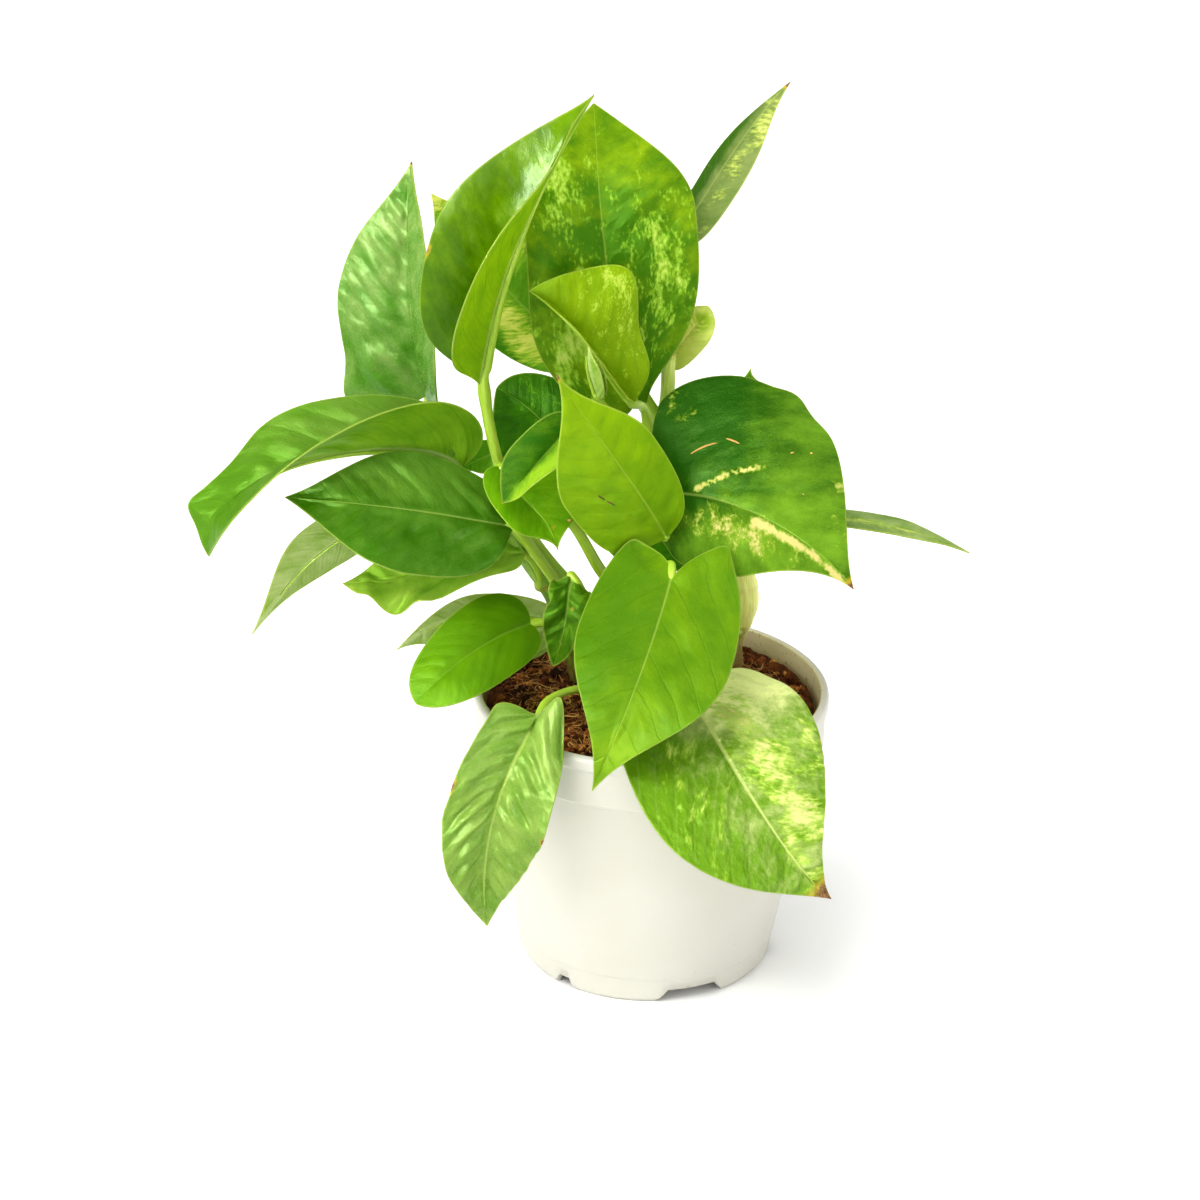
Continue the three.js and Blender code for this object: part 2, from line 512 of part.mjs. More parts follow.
function pot() {
  const body = lathe(
    [
      [0, 0],
      [BOSS_RADIUS, 0],
      [BOSS_RADIUS + 0.5, BASE_Z],
      [FOOT_RADIUS - WALL - 0.6, BASE_Z],
      [FOOT_RADIUS - WALL - 0.9, 0],
      [FOOT_RADIUS - 1.2, 0],
      [FOOT_RADIUS, 1.4],
      [BAND_RADIUS, BAND_Z - 0.4],
      [BAND_RADIUS + 0.5, BAND_Z],
      [BODY_TOP_RADIUS, COLLAR_Z - 0.5],
      [COLLAR_RADIUS, COLLAR_Z],
      [COLLAR_RADIUS + 0.1, POT_HEIGHT - LIP_HEIGHT - 0.6],
      [LIP_RADIUS, POT_HEIGHT - LIP_HEIGHT],
      [LIP_RADIUS, POT_HEIGHT - 1.2],
      [RIM_RADIUS + 0.4, POT_HEIGHT - 0.3],
      [RIM_RADIUS - 0.6, POT_HEIGHT],
      [LIP_RADIUS - 2.5, POT_HEIGHT - 0.4],
      [COLLAR_RADIUS - WALL - 0.4, POT_HEIGHT - 3],
      [COLLAR_RADIUS - WALL - 0.5, COLLAR_Z],
      [BODY_TOP_RADIUS - WALL - 0.3, COLLAR_Z - 1.5],
      [BAND_RADIUS + 0.6 - WALL, BAND_Z + 0.8],
      [FOOT_RADIUS - WALL - 1, BASE_Z + WALL],
      [0, BASE_Z + WALL],
    ],
    POT_SIDES,
  );
  const cuts = [];
  for (let i = 0; i < DRAIN_COUNT; i++) {
    const a = (2 * Math.PI * i) / DRAIN_COUNT;
    const place = [DRAIN_RING * Math.cos(a), DRAIN_RING * Math.sin(a), BASE_Z - 2];
    cuts.push(wasm.Manifold.cylinder(6, DRAIN_RADIUS, DRAIN_RADIUS, 20).translate(place));
  }
  for (let i = 0; i < 3; i++) {
    cuts.push(notch({ ...WIDE_NOTCH, angle: WIDE_NOTCH.angle + 120 * i }));
    cuts.push(notch({ ...NARROW_NOTCH, angle: NARROW_NOTCH.angle + 120 * i }));
  }
  return body.subtract(wasm.Manifold.union(cuts));
}

// Height of the growing medium over the ground at a place.
function soilHeight(x, y) {
  const r = Math.hypot(x, y) / 49;
  const lumps =
    Math.sin(0.31 * x + 1.1) * Math.cos(0.27 * y - 0.4) +
    0.6 * Math.sin(0.63 * x - 0.52 * y + 2.0) +
    0.4 * Math.cos(0.9 * y + 0.41 * x);
  return SOIL_TOP + SOIL_DOME * (1 - r * r) + 0.5 * SOIL_LUMP * lumps;
}

// Growing medium, 0.3 mm clear of the pot, with a plain hole for each vine.
function soil(vines) {
  const sides = 32;
  const rings = [0, 0.16, 0.32, 0.48, 0.63, 0.77, 0.89, 1];
  const inner = (z) => {
    const low = BASE_Z + WALL;
    const lowRadius = FOOT_RADIUS - WALL - 1;
    const highRadius = BODY_TOP_RADIUS - WALL - 0.3;
    const k = (z - low) / (COLLAR_Z - 1.5 - low);
    return lowRadius + (highRadius - lowRadius) * Math.min(k, 1) - CLEAR - 0.1;
  };
  const points = [];
  const triangles = [];
  const start = [];
  rings.forEach((share) => {
    start.push(points.length);
    const count = share === 0 ? 1 : sides;
    for (let i = 0; i < count; i++) {
      const a = (2 * Math.PI * i) / sides;
      const x = share * 49 * Math.cos(a);
      const y = share * 49 * Math.sin(a);
      points.push([x, y, soilHeight(x, y)]);
    }
  });
  [70, 42, BASE_Z + WALL + CLEAR].forEach((z) => {
    start.push(points.length);
    for (let i = 0; i < sides; i++) {
      const a = (2 * Math.PI * i) / sides;
      points.push([inner(z) * Math.cos(a), inner(z) * Math.sin(a), z]);
    }
  });
  for (let k = 0; k + 1 < start.length; k++) {
    for (let i = 0; i < sides; i++) {
      const j = (i + 1) % sides;
      const [c, d] = [start[k + 1] + i, start[k + 1] + j];
      if (k === 0) {
        triangles.push([0, c, d]);
      } else {
        const [a, b] = [start[k] + i, start[k] + j];
        triangles.push([a, c, d], [a, d, b]);
      }
    }
  }
  const bottom = points.length;
  points.push([0, 0, BASE_Z + WALL + CLEAR]);
  const ring = start[start.length - 1];
  for (let i = 0; i < sides; i++) {
    triangles.push([ring + i, bottom, ring + ((i + 1) % sides)]);
  }
  let made = solid(points, triangles);
  vines.forEach((spec) => {
    made = made.subtract(vine(spec, CLEAR));
  });
  return made;
}

const plant = new THREE.Group();
plant.name = "potted_pothos";
plant.add(mesh("pot", pot(), COLOURS.pot, 0.45));
plant.add(mesh("soil", soil(VINES), COLOURS.soil, 0.95));

const grown = new Map();
VINES.forEach((spec) => {
  grown.set(spec.name, vine(spec, CLEAR));
  plant.add(mesh(spec.name, vine(spec, 0), COLOURS.stem, 0.5));
});

LEAVES.forEach((leaf) => {
  const whole = largest(blade(leaf).add(stalk(leaf)).subtract(grown.get(leaf.on)));
  plant.add(mesh(leaf.name, whole, COLOURS[leaf.colour], 0.35));
});

export default plant;
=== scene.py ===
"""Potted pothos plant: the finish of every piece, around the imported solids.

The solids' frame is kept: Z = 0 is the ground under the pot, +Z is up and -Y is the front.
Shapes are worked out in millimetres, as the solids are, and become metres in the mesh.
"""
import math

import bpy
import numpy as np
from mathutils import Matrix, Vector


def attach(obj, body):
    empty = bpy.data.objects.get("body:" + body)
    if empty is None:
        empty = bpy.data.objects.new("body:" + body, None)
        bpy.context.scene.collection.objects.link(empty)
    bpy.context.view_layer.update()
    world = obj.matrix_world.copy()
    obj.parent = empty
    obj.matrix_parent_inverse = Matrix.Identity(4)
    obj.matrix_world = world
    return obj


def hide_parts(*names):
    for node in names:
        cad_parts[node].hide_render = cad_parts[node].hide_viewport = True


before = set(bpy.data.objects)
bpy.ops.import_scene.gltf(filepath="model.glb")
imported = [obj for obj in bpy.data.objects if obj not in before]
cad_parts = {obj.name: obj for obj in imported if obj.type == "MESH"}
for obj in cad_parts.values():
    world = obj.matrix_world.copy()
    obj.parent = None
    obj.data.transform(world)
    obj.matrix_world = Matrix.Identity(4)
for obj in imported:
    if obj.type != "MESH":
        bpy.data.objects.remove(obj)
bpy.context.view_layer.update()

MM = 0.001
SEED = 11

# Camera: the point that it looks at, how far back it stands, its tilt and its roll
AIM_MM = (-15.7, 0, 114.7)
DISTANCE_MM = 889.0
TILT_DEGREES = 24.1
ROLL_DEGREES = 1.0
LENS_MM = 90

# Strength of the white dome, and the bright windows that only shiny skin mirrors: the way to each,
# where its soft edge begins and ends as a cosine, and its strength, with what each adds all round
DOME = 0.86
WINDOW_SPILL = 0.05
WINDOWS = [((0.0, -0.35, 0.94), 0.1, 1.0, 0.35), ((-0.42, -0.90, 0.08), 0.93, 0.985, 28.0),
           ((-0.36, -0.86, 0.36), 0.965, 0.99, 34.0), ((0.76, -0.64, 0.08), 0.94, 0.985, 16.0),
           ((0.12, -0.88, 0.46), 0.93, 0.99, 4.0), ((0.45, -0.38, 0.81), 0.93, 0.99, 3.0)]

# Lamps, in metres and watts: the key, and the two soft boxes by name
KEY_PLACE = (-0.55, -0.40, 1.5)
KEY_AIM = (0, 0, 0.1)
KEY_ENERGY = 1.15
KEY_DEGREES = 38
BOX_AIM = (-0.02, 0, 0.15)
BOX_SIZE = 0.7
SOFT_BOXES = {"box_left": ((-1.1, -0.55, 0.42), 4.5), "box_top": ((-0.35, -0.6, 1.25), 6.0)}
FLOOR_REACH = 6000.0

# Pot, as in the solids
POT_HEIGHT = 87.5
RIM_RADIUS = 52.5
LIP_RADIUS = 53.5
LIP_HEIGHT = 4
COLLAR_RADIUS = 52.6
COLLAR_Z = 72
BODY_TOP_RADIUS = 51.6
BAND_Z = 8.6
BAND_RADIUS = 39.6
FOOT_RADIUS = 39
WALL = 1.4
BASE_Z = 4.6
BOSS_RADIUS = 6
DRAIN_RADIUS = 4
DRAIN_RING = 24
DRAIN_COUNT = 5
WIDE_NOTCH = {"width": 24, "top": 15, "height": 4.2, "angle": 21}
NARROW_NOTCH = {"width": 6.6, "top": 4.4, "height": 3.6, "angle": -39}
POT_SIDES = 288
POT_FILLET = 0.9

# Inside of the pot: its radius and height at the bottom and under the collar, and where, in metres,
# the paint of the inside, a painted warm bounce light with stains, fades in, on the way inwards and
# upwards
INSIDE_LOW_RADIUS = FOOT_RADIUS - WALL - 1
INSIDE_LOW_Z = BASE_Z + WALL
INSIDE_TOP_RADIUS = BODY_TOP_RADIUS - WALL - 0.3
INSIDE_TOP_Z = COLLAR_Z - 1.5
INSIDE_PAINT_RADIUS = (0.0512, 0.0520)
INSIDE_PAINT_Z = (0.0726, 0.0732)

# Growing medium
SOIL_TOP = 81.5
SOIL_DOME = 1.6
SOIL_LUMP = 1.1
SOIL_RADIUS = 49
SOIL_SIDES = 280
SOIL_RINGS = 120
SOIL_GAP = 0.4

# Crumbs and fibres: how many, how far off the vines, and their least size with how much it varies
CRUMB_COUNT = 1900
CRUMB_CLEARANCE = 4.2
CRUMB_SIZE = (0.38, 1.25)
FIBRE_COUNT = 1500
FIBRE_CLEARANCE = 4.6
FIBRE_REACH = (1.5, 4.5)
FIBRE_RADIUS = (0.08, 0.17)

# Blades: thickness, where the outline is widest, the length above which the grid is fine, the two
# grids, how far the rounded margin stands out, the size of the coarse and the fine crinkles, how
# much narrower the fine ones are, and the height of the slow drift
BLADE = 0.5
WIDEST_U = 0.4
LONG_BLADE = 42
FINE_GRID = (96, 52)
COARSE_GRID = (56, 32)
RIM_BULGE = 0.12
BEND_SCALE = 9.0
PUCKER_SCALE = 3.0
PUCKER_SQUEEZE = 0.4
DRIFT_HEIGHT = 0.25

# Stalks and vines: radius at foot and top, and the shares of the midrib that the stalk runs under
STALK_RADIUS = (1.5, 1.15)
STALK_SIDES = 16
STALK_STEPS = 10
STALK_GROOVE = 0.16
KEEL_AT = (0.06, 0.14, 0.26, 0.42, 0.6, 0.8)
VINE_SIDES = 32
VINE_STEPS = 40
VINE_BROWN_Z = (94.0, 108.0)

# Threads and scratches on the blades: their sides, and how far their axis lies over the blade, as a
# share of their radius
BIT_SIDES = 8
BIT_RISE = 0.4

# Leaf skin: the share of light that comes through, the depth of its bumps in metres, how steeply
# the side veins run and how far they wander in mm, where the marbling turns to flecks, and, on the
# underside, half the gap between the veins in mm and how white the shine is
LIGHT_THROUGH = 0.28
LEAF_BUMP = 0.0004
VEIN_LEAN = 0.8
VEIN_WANDER = 4.0
FLECK_EDGE = 0.045
UNDER_VEIN_GAP = 4.0
UNDER_SHEEN = 0.5

# Paints that all leaves share, as linear numbers
RIB_PALE = (0.68, 0.80, 0.22, 1)
MARGIN_PALE = (0.50, 0.58, 0.12, 1)
# Paint of the fine pale specks: partly dust, partly painted glints of light
DUST_AND_GLINT_PALE = (0.70, 0.80, 0.45, 1)
UNDER_RIB_PALE = (0.80, 0.86, 0.50, 1)
UNDER_MARGIN_PALE = (0.55, 0.62, 0.16, 1)
THROUGH_TINT = (1.0, 1.0, 0.55, 1)
SCAR_YELLOW = (0.62, 0.44, 0.03, 1)
SCAR_BROWN = (0.12, 0.05, 0.02, 1)
SCAR_TAN = (0.40, 0.22, 0.09, 1)
SCRATCH_BLACK = (0.02, 0.012, 0.004, 1)
SCRATCH_BROWN = (0.09, 0.045, 0.015, 1)

# Each leaf, as in the solids. rib: the four points that the midrib runs through, from the stalk to
# the tip. face: the way the upper side looks, or that at the base and that at the tip. half: the
# width of the left and the right half. fold: the rise of the halves in degrees, of the left and the
# right one, or of both at the base and both at the tip. curl: how far a half bends further towards
# its margin. lobe, wide, tip: the outline. wave: the height, the number and the start of the ripples
# along the margin. stalk: the route from the vine. slim: how thick it is, against the others.
LEAVES = [
    dict(name="leaf_upper_left", colour="fresh",
         rib=[[-68, 22, 170], [-72, 20, 195], [-73, 22, 219], [-72, 26, 240]],
         face=[[-0.6, -0.8, 0.1], [-0.5, -0.85, 0.1]], half=[22, 21], fold=[[28, 40], [30, 34]],
         curl=[-12, -8], lobe=0.03, wide=0.36, tip=[0.35, 0.22], wave=[0.6, 3, 0.1],
         stalk=[[-45, 1, 140], [-58, 10, 147], [-67, 17, 158]]),
    dict(name="leaf_top_folded", colour="lime", slim=1.45,
         rib=[[-51, -6, 184], [-45, -10, 214], [-35, -8, 241], [-20, 2, 267]], face=[-0.7, -0.66, 0.26],
         half=[23, 22], fold=[[52, 80], [45, 60]], curl=[-10, -12], lobe=-0.06, wide=0.44,
         tip=[0.3, 0.28], wave=[0.4, 2, 0.2],
         stalk=[[-10, 8, 104], [-26, 0, 121], [-40, -4, 143], [-47, -5, 165]]),
    dict(name="leaf_top_centre", colour="marbled",
         rib=[[-5, 8, 174], [-14, 10, 208], [-18, 14, 236], [-20, 26, 258]],
         face=[[0, -0.9, 0.3], [0, -0.9, 0.4]], half=[22, 27], fold=8, curl=[-16, -18], lobe=0.03,
         wide=0.55, tip=[0.45, 0.62], wave=[0.6, 2.5, 0.3], stalk=[[3, 16, 158], [-1, 12, 166]]),
    dict(name="leaf_centre_folded", colour="lime",
         rib=[[-7, -6, 179], [-16, -9, 192], [-25, -10, 204], [-37, -8, 213]], face=[0.54, -0.71, 0.46],
         half=[9, 20], fold=[55, 42], curl=[0, -24], lobe=-0.04, wide=0.55, tip=[0.3, 0.6],
         wave=[0.4, 2, 0.2], stalk=[[-2, 4, 165], [-4, 4, 174]]),
    dict(name="leaf_centre_lime", colour="lime",
         rib=[[3, -22, 144], [-6, -27, 161], [-17, -30, 178], [-29, -32, 197]],
         face=[[0.1, -0.92, 0.4], [0.1, -0.88, 0.45]], half=[20, 12.5], fold=14, curl=-8, lobe=-0.04,
         wide=0.52, tip=[0.4, 0.12], wave=[0.4, 2, 0.2],
         stalk=[[-4, 3, 149], [-8, -9, 154], [-3, -19, 149]]),
    dict(name="leaf_right_dark", colour="deep",
         rib=[[2, -12, 154], [20, -18, 154], [39, -27, 148], [56, -35, 135]],
         face=[[0.1, -0.88, 0.45], [0.35, -0.8, 0.4]], half=[37.5, 21.5], fold=4, curl=-14, lobe=0.06,
         wide=0.36, tip=[0.38, 0.2], wave=[1.2, 2.5, 0.1],
         stalk=[[22, 14, 139], [13, 4, 150], [6, -7, 155]]),
    dict(name="leaf_lower_right", colour="marbled",
         rib=[[12, -34, 97], [25, -57, 85], [39, -64, 66], [52, -62, 50]],
         face=[[0.25, -0.7, 0.65], [0.3, -0.8, 0.4]], half=[27, 30], fold=8, curl=-14, lobe=0.08,
         wide=0.28, tip=[0.38, 0.15], wave=[1.0, 2.5, 0.3],
         stalk=[[26, 22, 95], [22, 4, 104], [16, -18, 105]]),
    dict(name="leaf_lower_left", colour="fresh",
         rib=[[-33, -46, 97], [-42, -56, 82], [-47, -58, 60], [-47, -50, 32]],
         face=[[0, -0.8, 0.6], [0, -1, 0.1]], half=[15.5, 15], fold=[6, 30], curl=[-10, -8], lobe=0.01,
         wide=0.5, tip=[0.35, 0.4], wave=[1.0, 3, 0.1],
         stalk=[[-12, -8, 88], [-21, -22, 96], [-30, -38, 100]]),
    dict(name="leaf_left_oval", colour="fresh",
         rib=[[-36, -14, 113], [-47, -26, 113], [-58, -34, 108], [-68, -38, 98]],
         face=[[0.1, -0.8, 0.6], [-0.1, -0.85, 0.5]], half=[12, 14.5], fold=6, curl=-12, lobe=0.03,
         wide=0.5, tip=[0.1, 0.65], wave=[0.4, 2, 0.1],
         stalk=[[-12, -8, 92], [-22, -11, 104], [-31, -12, 112]]),
    dict(name="leaf_left_pale", colour="fresh",
         rib=[[-29, 0, 107], [-45, 0, 110], [-61, -2, 108], [-76, -4, 99]], face=[0, 0.9, 0.2],
         half=[7, 20], fold=6, curl=-6, lobe=0.04, wide=0.4, tip=[0.35, 0.15], wave=[0.5, 2, 0.1],
         stalk=[[-25, 8, 98], [-27, 5, 104]]),
    dict(name="leaf_front_heart", colour="fresh",
         rib=[[4, -38, 138], [-2, -52, 122], [-9, -63, 106], [-17, -67, 86]],
         face=[[0, -0.75, 0.65], [0, -0.85, 0.5]], half=[23.5, 21], fold=8, curl=-14, lobe=0.17,
         wide=0.3, tip=[0.4, 0.22], wave=[0.4, 2, 0.1],
         stalk=[[-7, 5, 112], [-3, -9, 120], [1, -23, 132], [4, -33, 141]]),
    dict(name="leaf_left_arching", colour="fresh",
         rib=[[-57, -1, 156], [-80, -7, 164], [-113, -13, 157], [-129, -15, 133]],
         face=[[0, -0.35, 0.94], [-0.6, -0.5, 0.5]], half=[19, 16], fold=[[115, 45], [5, 25]], curl=-10,
         lobe=0.0, wide=0.48, tip=[0.26, 0.6], wave=[0.6, 2.5, 0.1],
         stalk=[[-43, -1, 136], [-48, -4, 145], [-54, -3, 152]]),
    dict(name="leaf_left_broad", colour="deep", slim=1.35,
         rib=[[-41, -12, 143], [-63, -18, 149], [-84, -22, 153], [-106, -20, 154]],
         face=[[0, -0.8, 0.6], [0, -0.7, 0.7]], half=[19, 18], fold=5, curl=-12, lobe=-0.02, wide=0.44,
         tip=[0.35, 0.36], wave=[0.5, 2.5, 0.1], stalk=[[-24, 9, 95], [-25, -2, 114], [-36, -9, 135]]),
    dict(name="leaf_left_drooping", colour="fresh",
         rib=[[-79, -1, 142], [-93, -4, 134], [-105, -7, 124], [-118, -10, 106]], face=[-0.5, 0.7, 0.3],
         half=[12, 12], fold=8, curl=-6, lobe=0.0, wide=0.38, tip=[0.35, 0.2], wave=[0.4, 2, 0.1],
         stalk=[[-38, 1, 129], [-54, 3, 138], [-68, 2, 143]]),
    dict(name="leaf_left_wavy", colour="deep",
         rib=[[-38, -4, 131], [-55, -6, 128], [-74, -8, 124], [-91, -10, 123]], face=[0, -0.7, 0.7],
         half=[12, 8], fold=5, curl=-12, lobe=-0.02, wide=0.62, tip=[0.25, 0.2], wave=[2.4, 3, 0.1],
         stalk=[[-33, 2, 118], [-35, -2, 127]]),
    dict(name="leaf_small_torn", colour="deep",
         rib=[[-24, -24, 133], [-25, -26, 126], [-26, -27, 117], [-29, -26, 105]], face=[0, -0.9, 0.4],
         half=[6.5, 6.5], fold=10, curl=-10, lobe=0.02, wide=0.5, tip=[0.2, 0.6], wave=[0.8, 2, 0.1],
         stalk=[[-11, -9, 97], [-15, -17, 113], [-21, -23, 128]]),
    dict(name="leaf_behind_centre", colour="deep",
         rib=[[-20, 8, 155], [-28, 9, 162], [-37, 11, 170], [-47, 13, 176]], face=[0, -0.85, 0.5],
         half=[16, 13], fold=6, curl=-10, lobe=0.08, wide=0.5, tip=[0.1, 0.6], wave=[0.4, 2, 0.1],
         stalk=[[-5, 5, 138], [-12, 7, 148]]),
    dict(name="leaf_centre_small", colour="deep",
         rib=[[-24, -16, 177], [-30, -20, 171], [-37, -22, 163], [-44, -22, 154]],
         face=[-0.2, -0.85, -0.4], half=[8, 9.5], fold=[58, 12], curl=[0, -14], lobe=0.0, wide=0.55,
         tip=[0.3, 0.4], wave=[0.3, 2, 0.1], stalk=[[-3, 3, 154], [-11, -7, 165], [-19, -14, 176]]),
    dict(name="leaf_centre_pointed", colour="deep", slim=1.3,
         rib=[[-45, -11, 161], [-40, -15, 155], [-33, -18, 148], [-28, -20, 139]],
         face=[[0.2, -0.8, 0.6], [0.3, -0.9, 0.2]], half=[15, 9], fold=[6, 14], curl=[-12, -8],
         lobe=0.02, wide=0.55, tip=[0.35, 0.05], wave=[0.8, 2, 0.1],
         stalk=[[-8, 6, 116], [-15, -6, 126], [-24, -10, 143], [-37, -11, 157]]),
    dict(name="leaf_centre_under", colour="deep",
         rib=[[-14, -4, 141], [-7, -7, 136], [0, -9, 133], [10, -9, 129]], face=[0, -0.6, 0.8],
         half=[8, 7], fold=6, curl=-8, lobe=0.0, wide=0.55, tip=[0.3, 0.4], wave=[0.4, 2, 0.1],
         stalk=[[-6, 4, 122], [-12, 2, 131], [-15, -1, 138]]),
    dict(name="leaf_far_right", colour="deep",
         rib=[[43, 8, 140], [61, 6, 139], [78, 4, 136], [93, 2, 131]], face=[0, 0.05, 1], half=[8, 8],
         fold=6, curl=-8, lobe=0.02, wide=0.4, tip=[0.35, 0.25], wave=[0.3, 2, 0.1],
         stalk=[[25, 16, 128], [33, 12, 138]]),
    dict(name="leaf_top_right", colour="marbled",
         rib=[[4, 22, 219], [13, 30, 231], [24, 38, 246], [37, 46, 260]], face=[-0.7, -0.75, 0.1],
         half=[8, 8], fold=-16, curl=-8, lobe=0.02, wide=0.42, tip=[0.35, 0.3], wave=[0.3, 2, 0.1],
         stalk=[[3, 14, 183], [1, 18, 200]]),
    dict(name="leaf_right_yellow", colour="marbled",
         rib=[[3, 20, 182], [7, 19, 189], [11, 18, 195], [14, 17, 201]], face=[0, -0.9, 0.4],
         half=[6, 6], fold=10, curl=-8, lobe=0.04, wide=0.55, tip=[0.1, 0.6], wave=[0.3, 2, 0.1],
         stalk=[[3, 15, 170], [4, 20, 177]]),
    dict(name="leaf_behind_striped", colour="marbled",
         rib=[[-23, 20, 188], [-40, 21, 199], [-54, 20, 216], [-66, 18, 233]], face=[0, -0.9, 0.4],
         half=[15, 13], fold=6, curl=-8, lobe=0.04, wide=0.5, tip=[0.35, 0.3], wave=[0.3, 2, 0.1],
         stalk=[[3, 16, 163], [-8, 20, 178]]),
    dict(name="leaf_behind_right", colour="deep",
         rib=[[30, 10, 166], [29, 11, 172], [27, 11, 178], [27, 12, 184]], face=[0, -0.9, 0.4],
         half=[7, 7], fold=10, curl=-8, lobe=0.04, wide=0.45, tip=[0.4, 0.1], wave=[0.3, 2, 0.1],
         stalk=[[23, 15, 138], [28, 9, 152]]),
    dict(name="leaf_left_behind", colour="fresh",
         rib=[[-46, 13, 157], [-50, 12, 155], [-54, 12, 153], [-58, 11, 150]], face=[0, -0.9, 0.4],
         half=[4.5, 5], fold=10, curl=-8, lobe=0.0, wide=0.45, tip=[0.4, 0.2], wave=[0.3, 2, 0.1],
         stalk=[[-37, 3, 125], [-37, 11, 140], [-42, 13, 152]]),
    dict(name="leaf_unfurling", colour="marbled", slim=0.6,
         rib=[[-17, -18, 185], [-19, -19, 191], [-20, -20, 196], [-20, -20, 201]],
         face=[0.9, -0.4, 0.1], half=[4, 4], fold=60, curl=30, lobe=0.0, wide=0.45, tip=[0.3, 0.4],
         wave=[0, 2, 0.1], stalk=[[-3, 3, 160], [-9, -6, 172], [-14, -14, 180]]),
]

# Each vine. joints: how many rings of old leaves it has above its foot. swell: where it is thicker
# or thinner than in the solids, [height, length, by how much].
VINES = [
    dict(name="vine_left", joints=5,
         route=[[-21, 15, 66], [-22, 12, 84], [-29, 4, 112], [-37, 0, 127], [-45, -1, 142]],
         radius=[2.8, 2.3]),
    dict(name="vine_front", joints=7,
         route=[[-8, 14, 66], [-9, 12, 86], [-8, 6, 112], [-4, 2, 138], [-2, 3, 166]],
         radius=[2.8, 2.2]),
    dict(name="vine_right", joints=5,
         route=[[26, 28, 66], [26, 26, 86], [28, 22, 105], [27, 18, 122], [21, 14, 142]],
         radius=[3.2, 2.4], swell=[[106, 8, 1.8], [90, 5, -0.9]]),
    dict(name="vine_back", joints=7,
         route=[[6, 34, 66], [6, 33, 86], [4, 26, 120], [3, 17, 158], [3, 12, 188]], radius=[2.6, 2.0]),
    dict(name="vine_low", joints=2, route=[[-12, -8, 66], [-12, -8, 84], [-11, -9, 101]],
         radius=[2.6, 2.3]),
]

# The paint and the relief of each leaf, where they differ from PLAIN. Most lists hold soft spots,
# [along, across, length, width, strength], along from the stalk (0) to the tip (1) and across from
# the left margin (-1) to the right one (1).
# dark, light, level, tone: the two greens, how near the blade is to the light one, and spots where
#   it is nearer or less near, some of them a painted sheen and some a painted shade. mottle, cell:
#   how strong its mottling is, and its scale and length.
# under: the underside, where it isn't the one that the leaf's colour has.
# cream: spots of marbling. yellow, glow: the colours of its flecks and of the halo round them.
#   streak: what they run with. fleck, stretch, soft: how coarse, long and soft-edged they are.
#   dash: cream lines, [along, across, along, across, width in mm, strength].
# scar: dry spots. dust_and_glint: how pale the fine specks are, which stand partly for dust and partly for
# painted glints of light.
# veins, slant: the number of side veins, and how far they bend towards the tip. vein, crest: how
#   pale they are, or dark below 0, and how deep. rib, ribtone: the half width and paleness of the
#   midrib. keel: how thick the stalk is under the blade.
# quilt: the height in mm of the swellings between the side veins. bend, pucker: that of the coarse
#   and the fine crinkles. hem, calm: how much all of these die away at the margin, and in spots.
# push: places where the blade is drawn aside, [along, across, length, width, shift in mm].
# emboss: how deep the mottling is. rough, sheen: the roughness, and how white the shine is.
PLAIN = dict(
    dark="5c9420", light="86b83a", level=0.5, tone=[], mottle=0.2, cell=[0.3, 1.6], under=None,
    cream=[], yellow="d8de7a", glow="a8cc40", streak="veins", fleck=1.0, stretch=2.2, soft=0.085,
    dash=[], scar=[], dust_and_glint=0.12, veins=9, slant=1.0, vein=0.05, crest=0.15, rib=0.5, ribtone=0.35,
    keel=1.0, quilt=0.2, bend=0.35, pucker=0.06, hem=0.7, calm=[], push=[], emboss=1.2, rough=0.42,
    sheen=0.35,
)
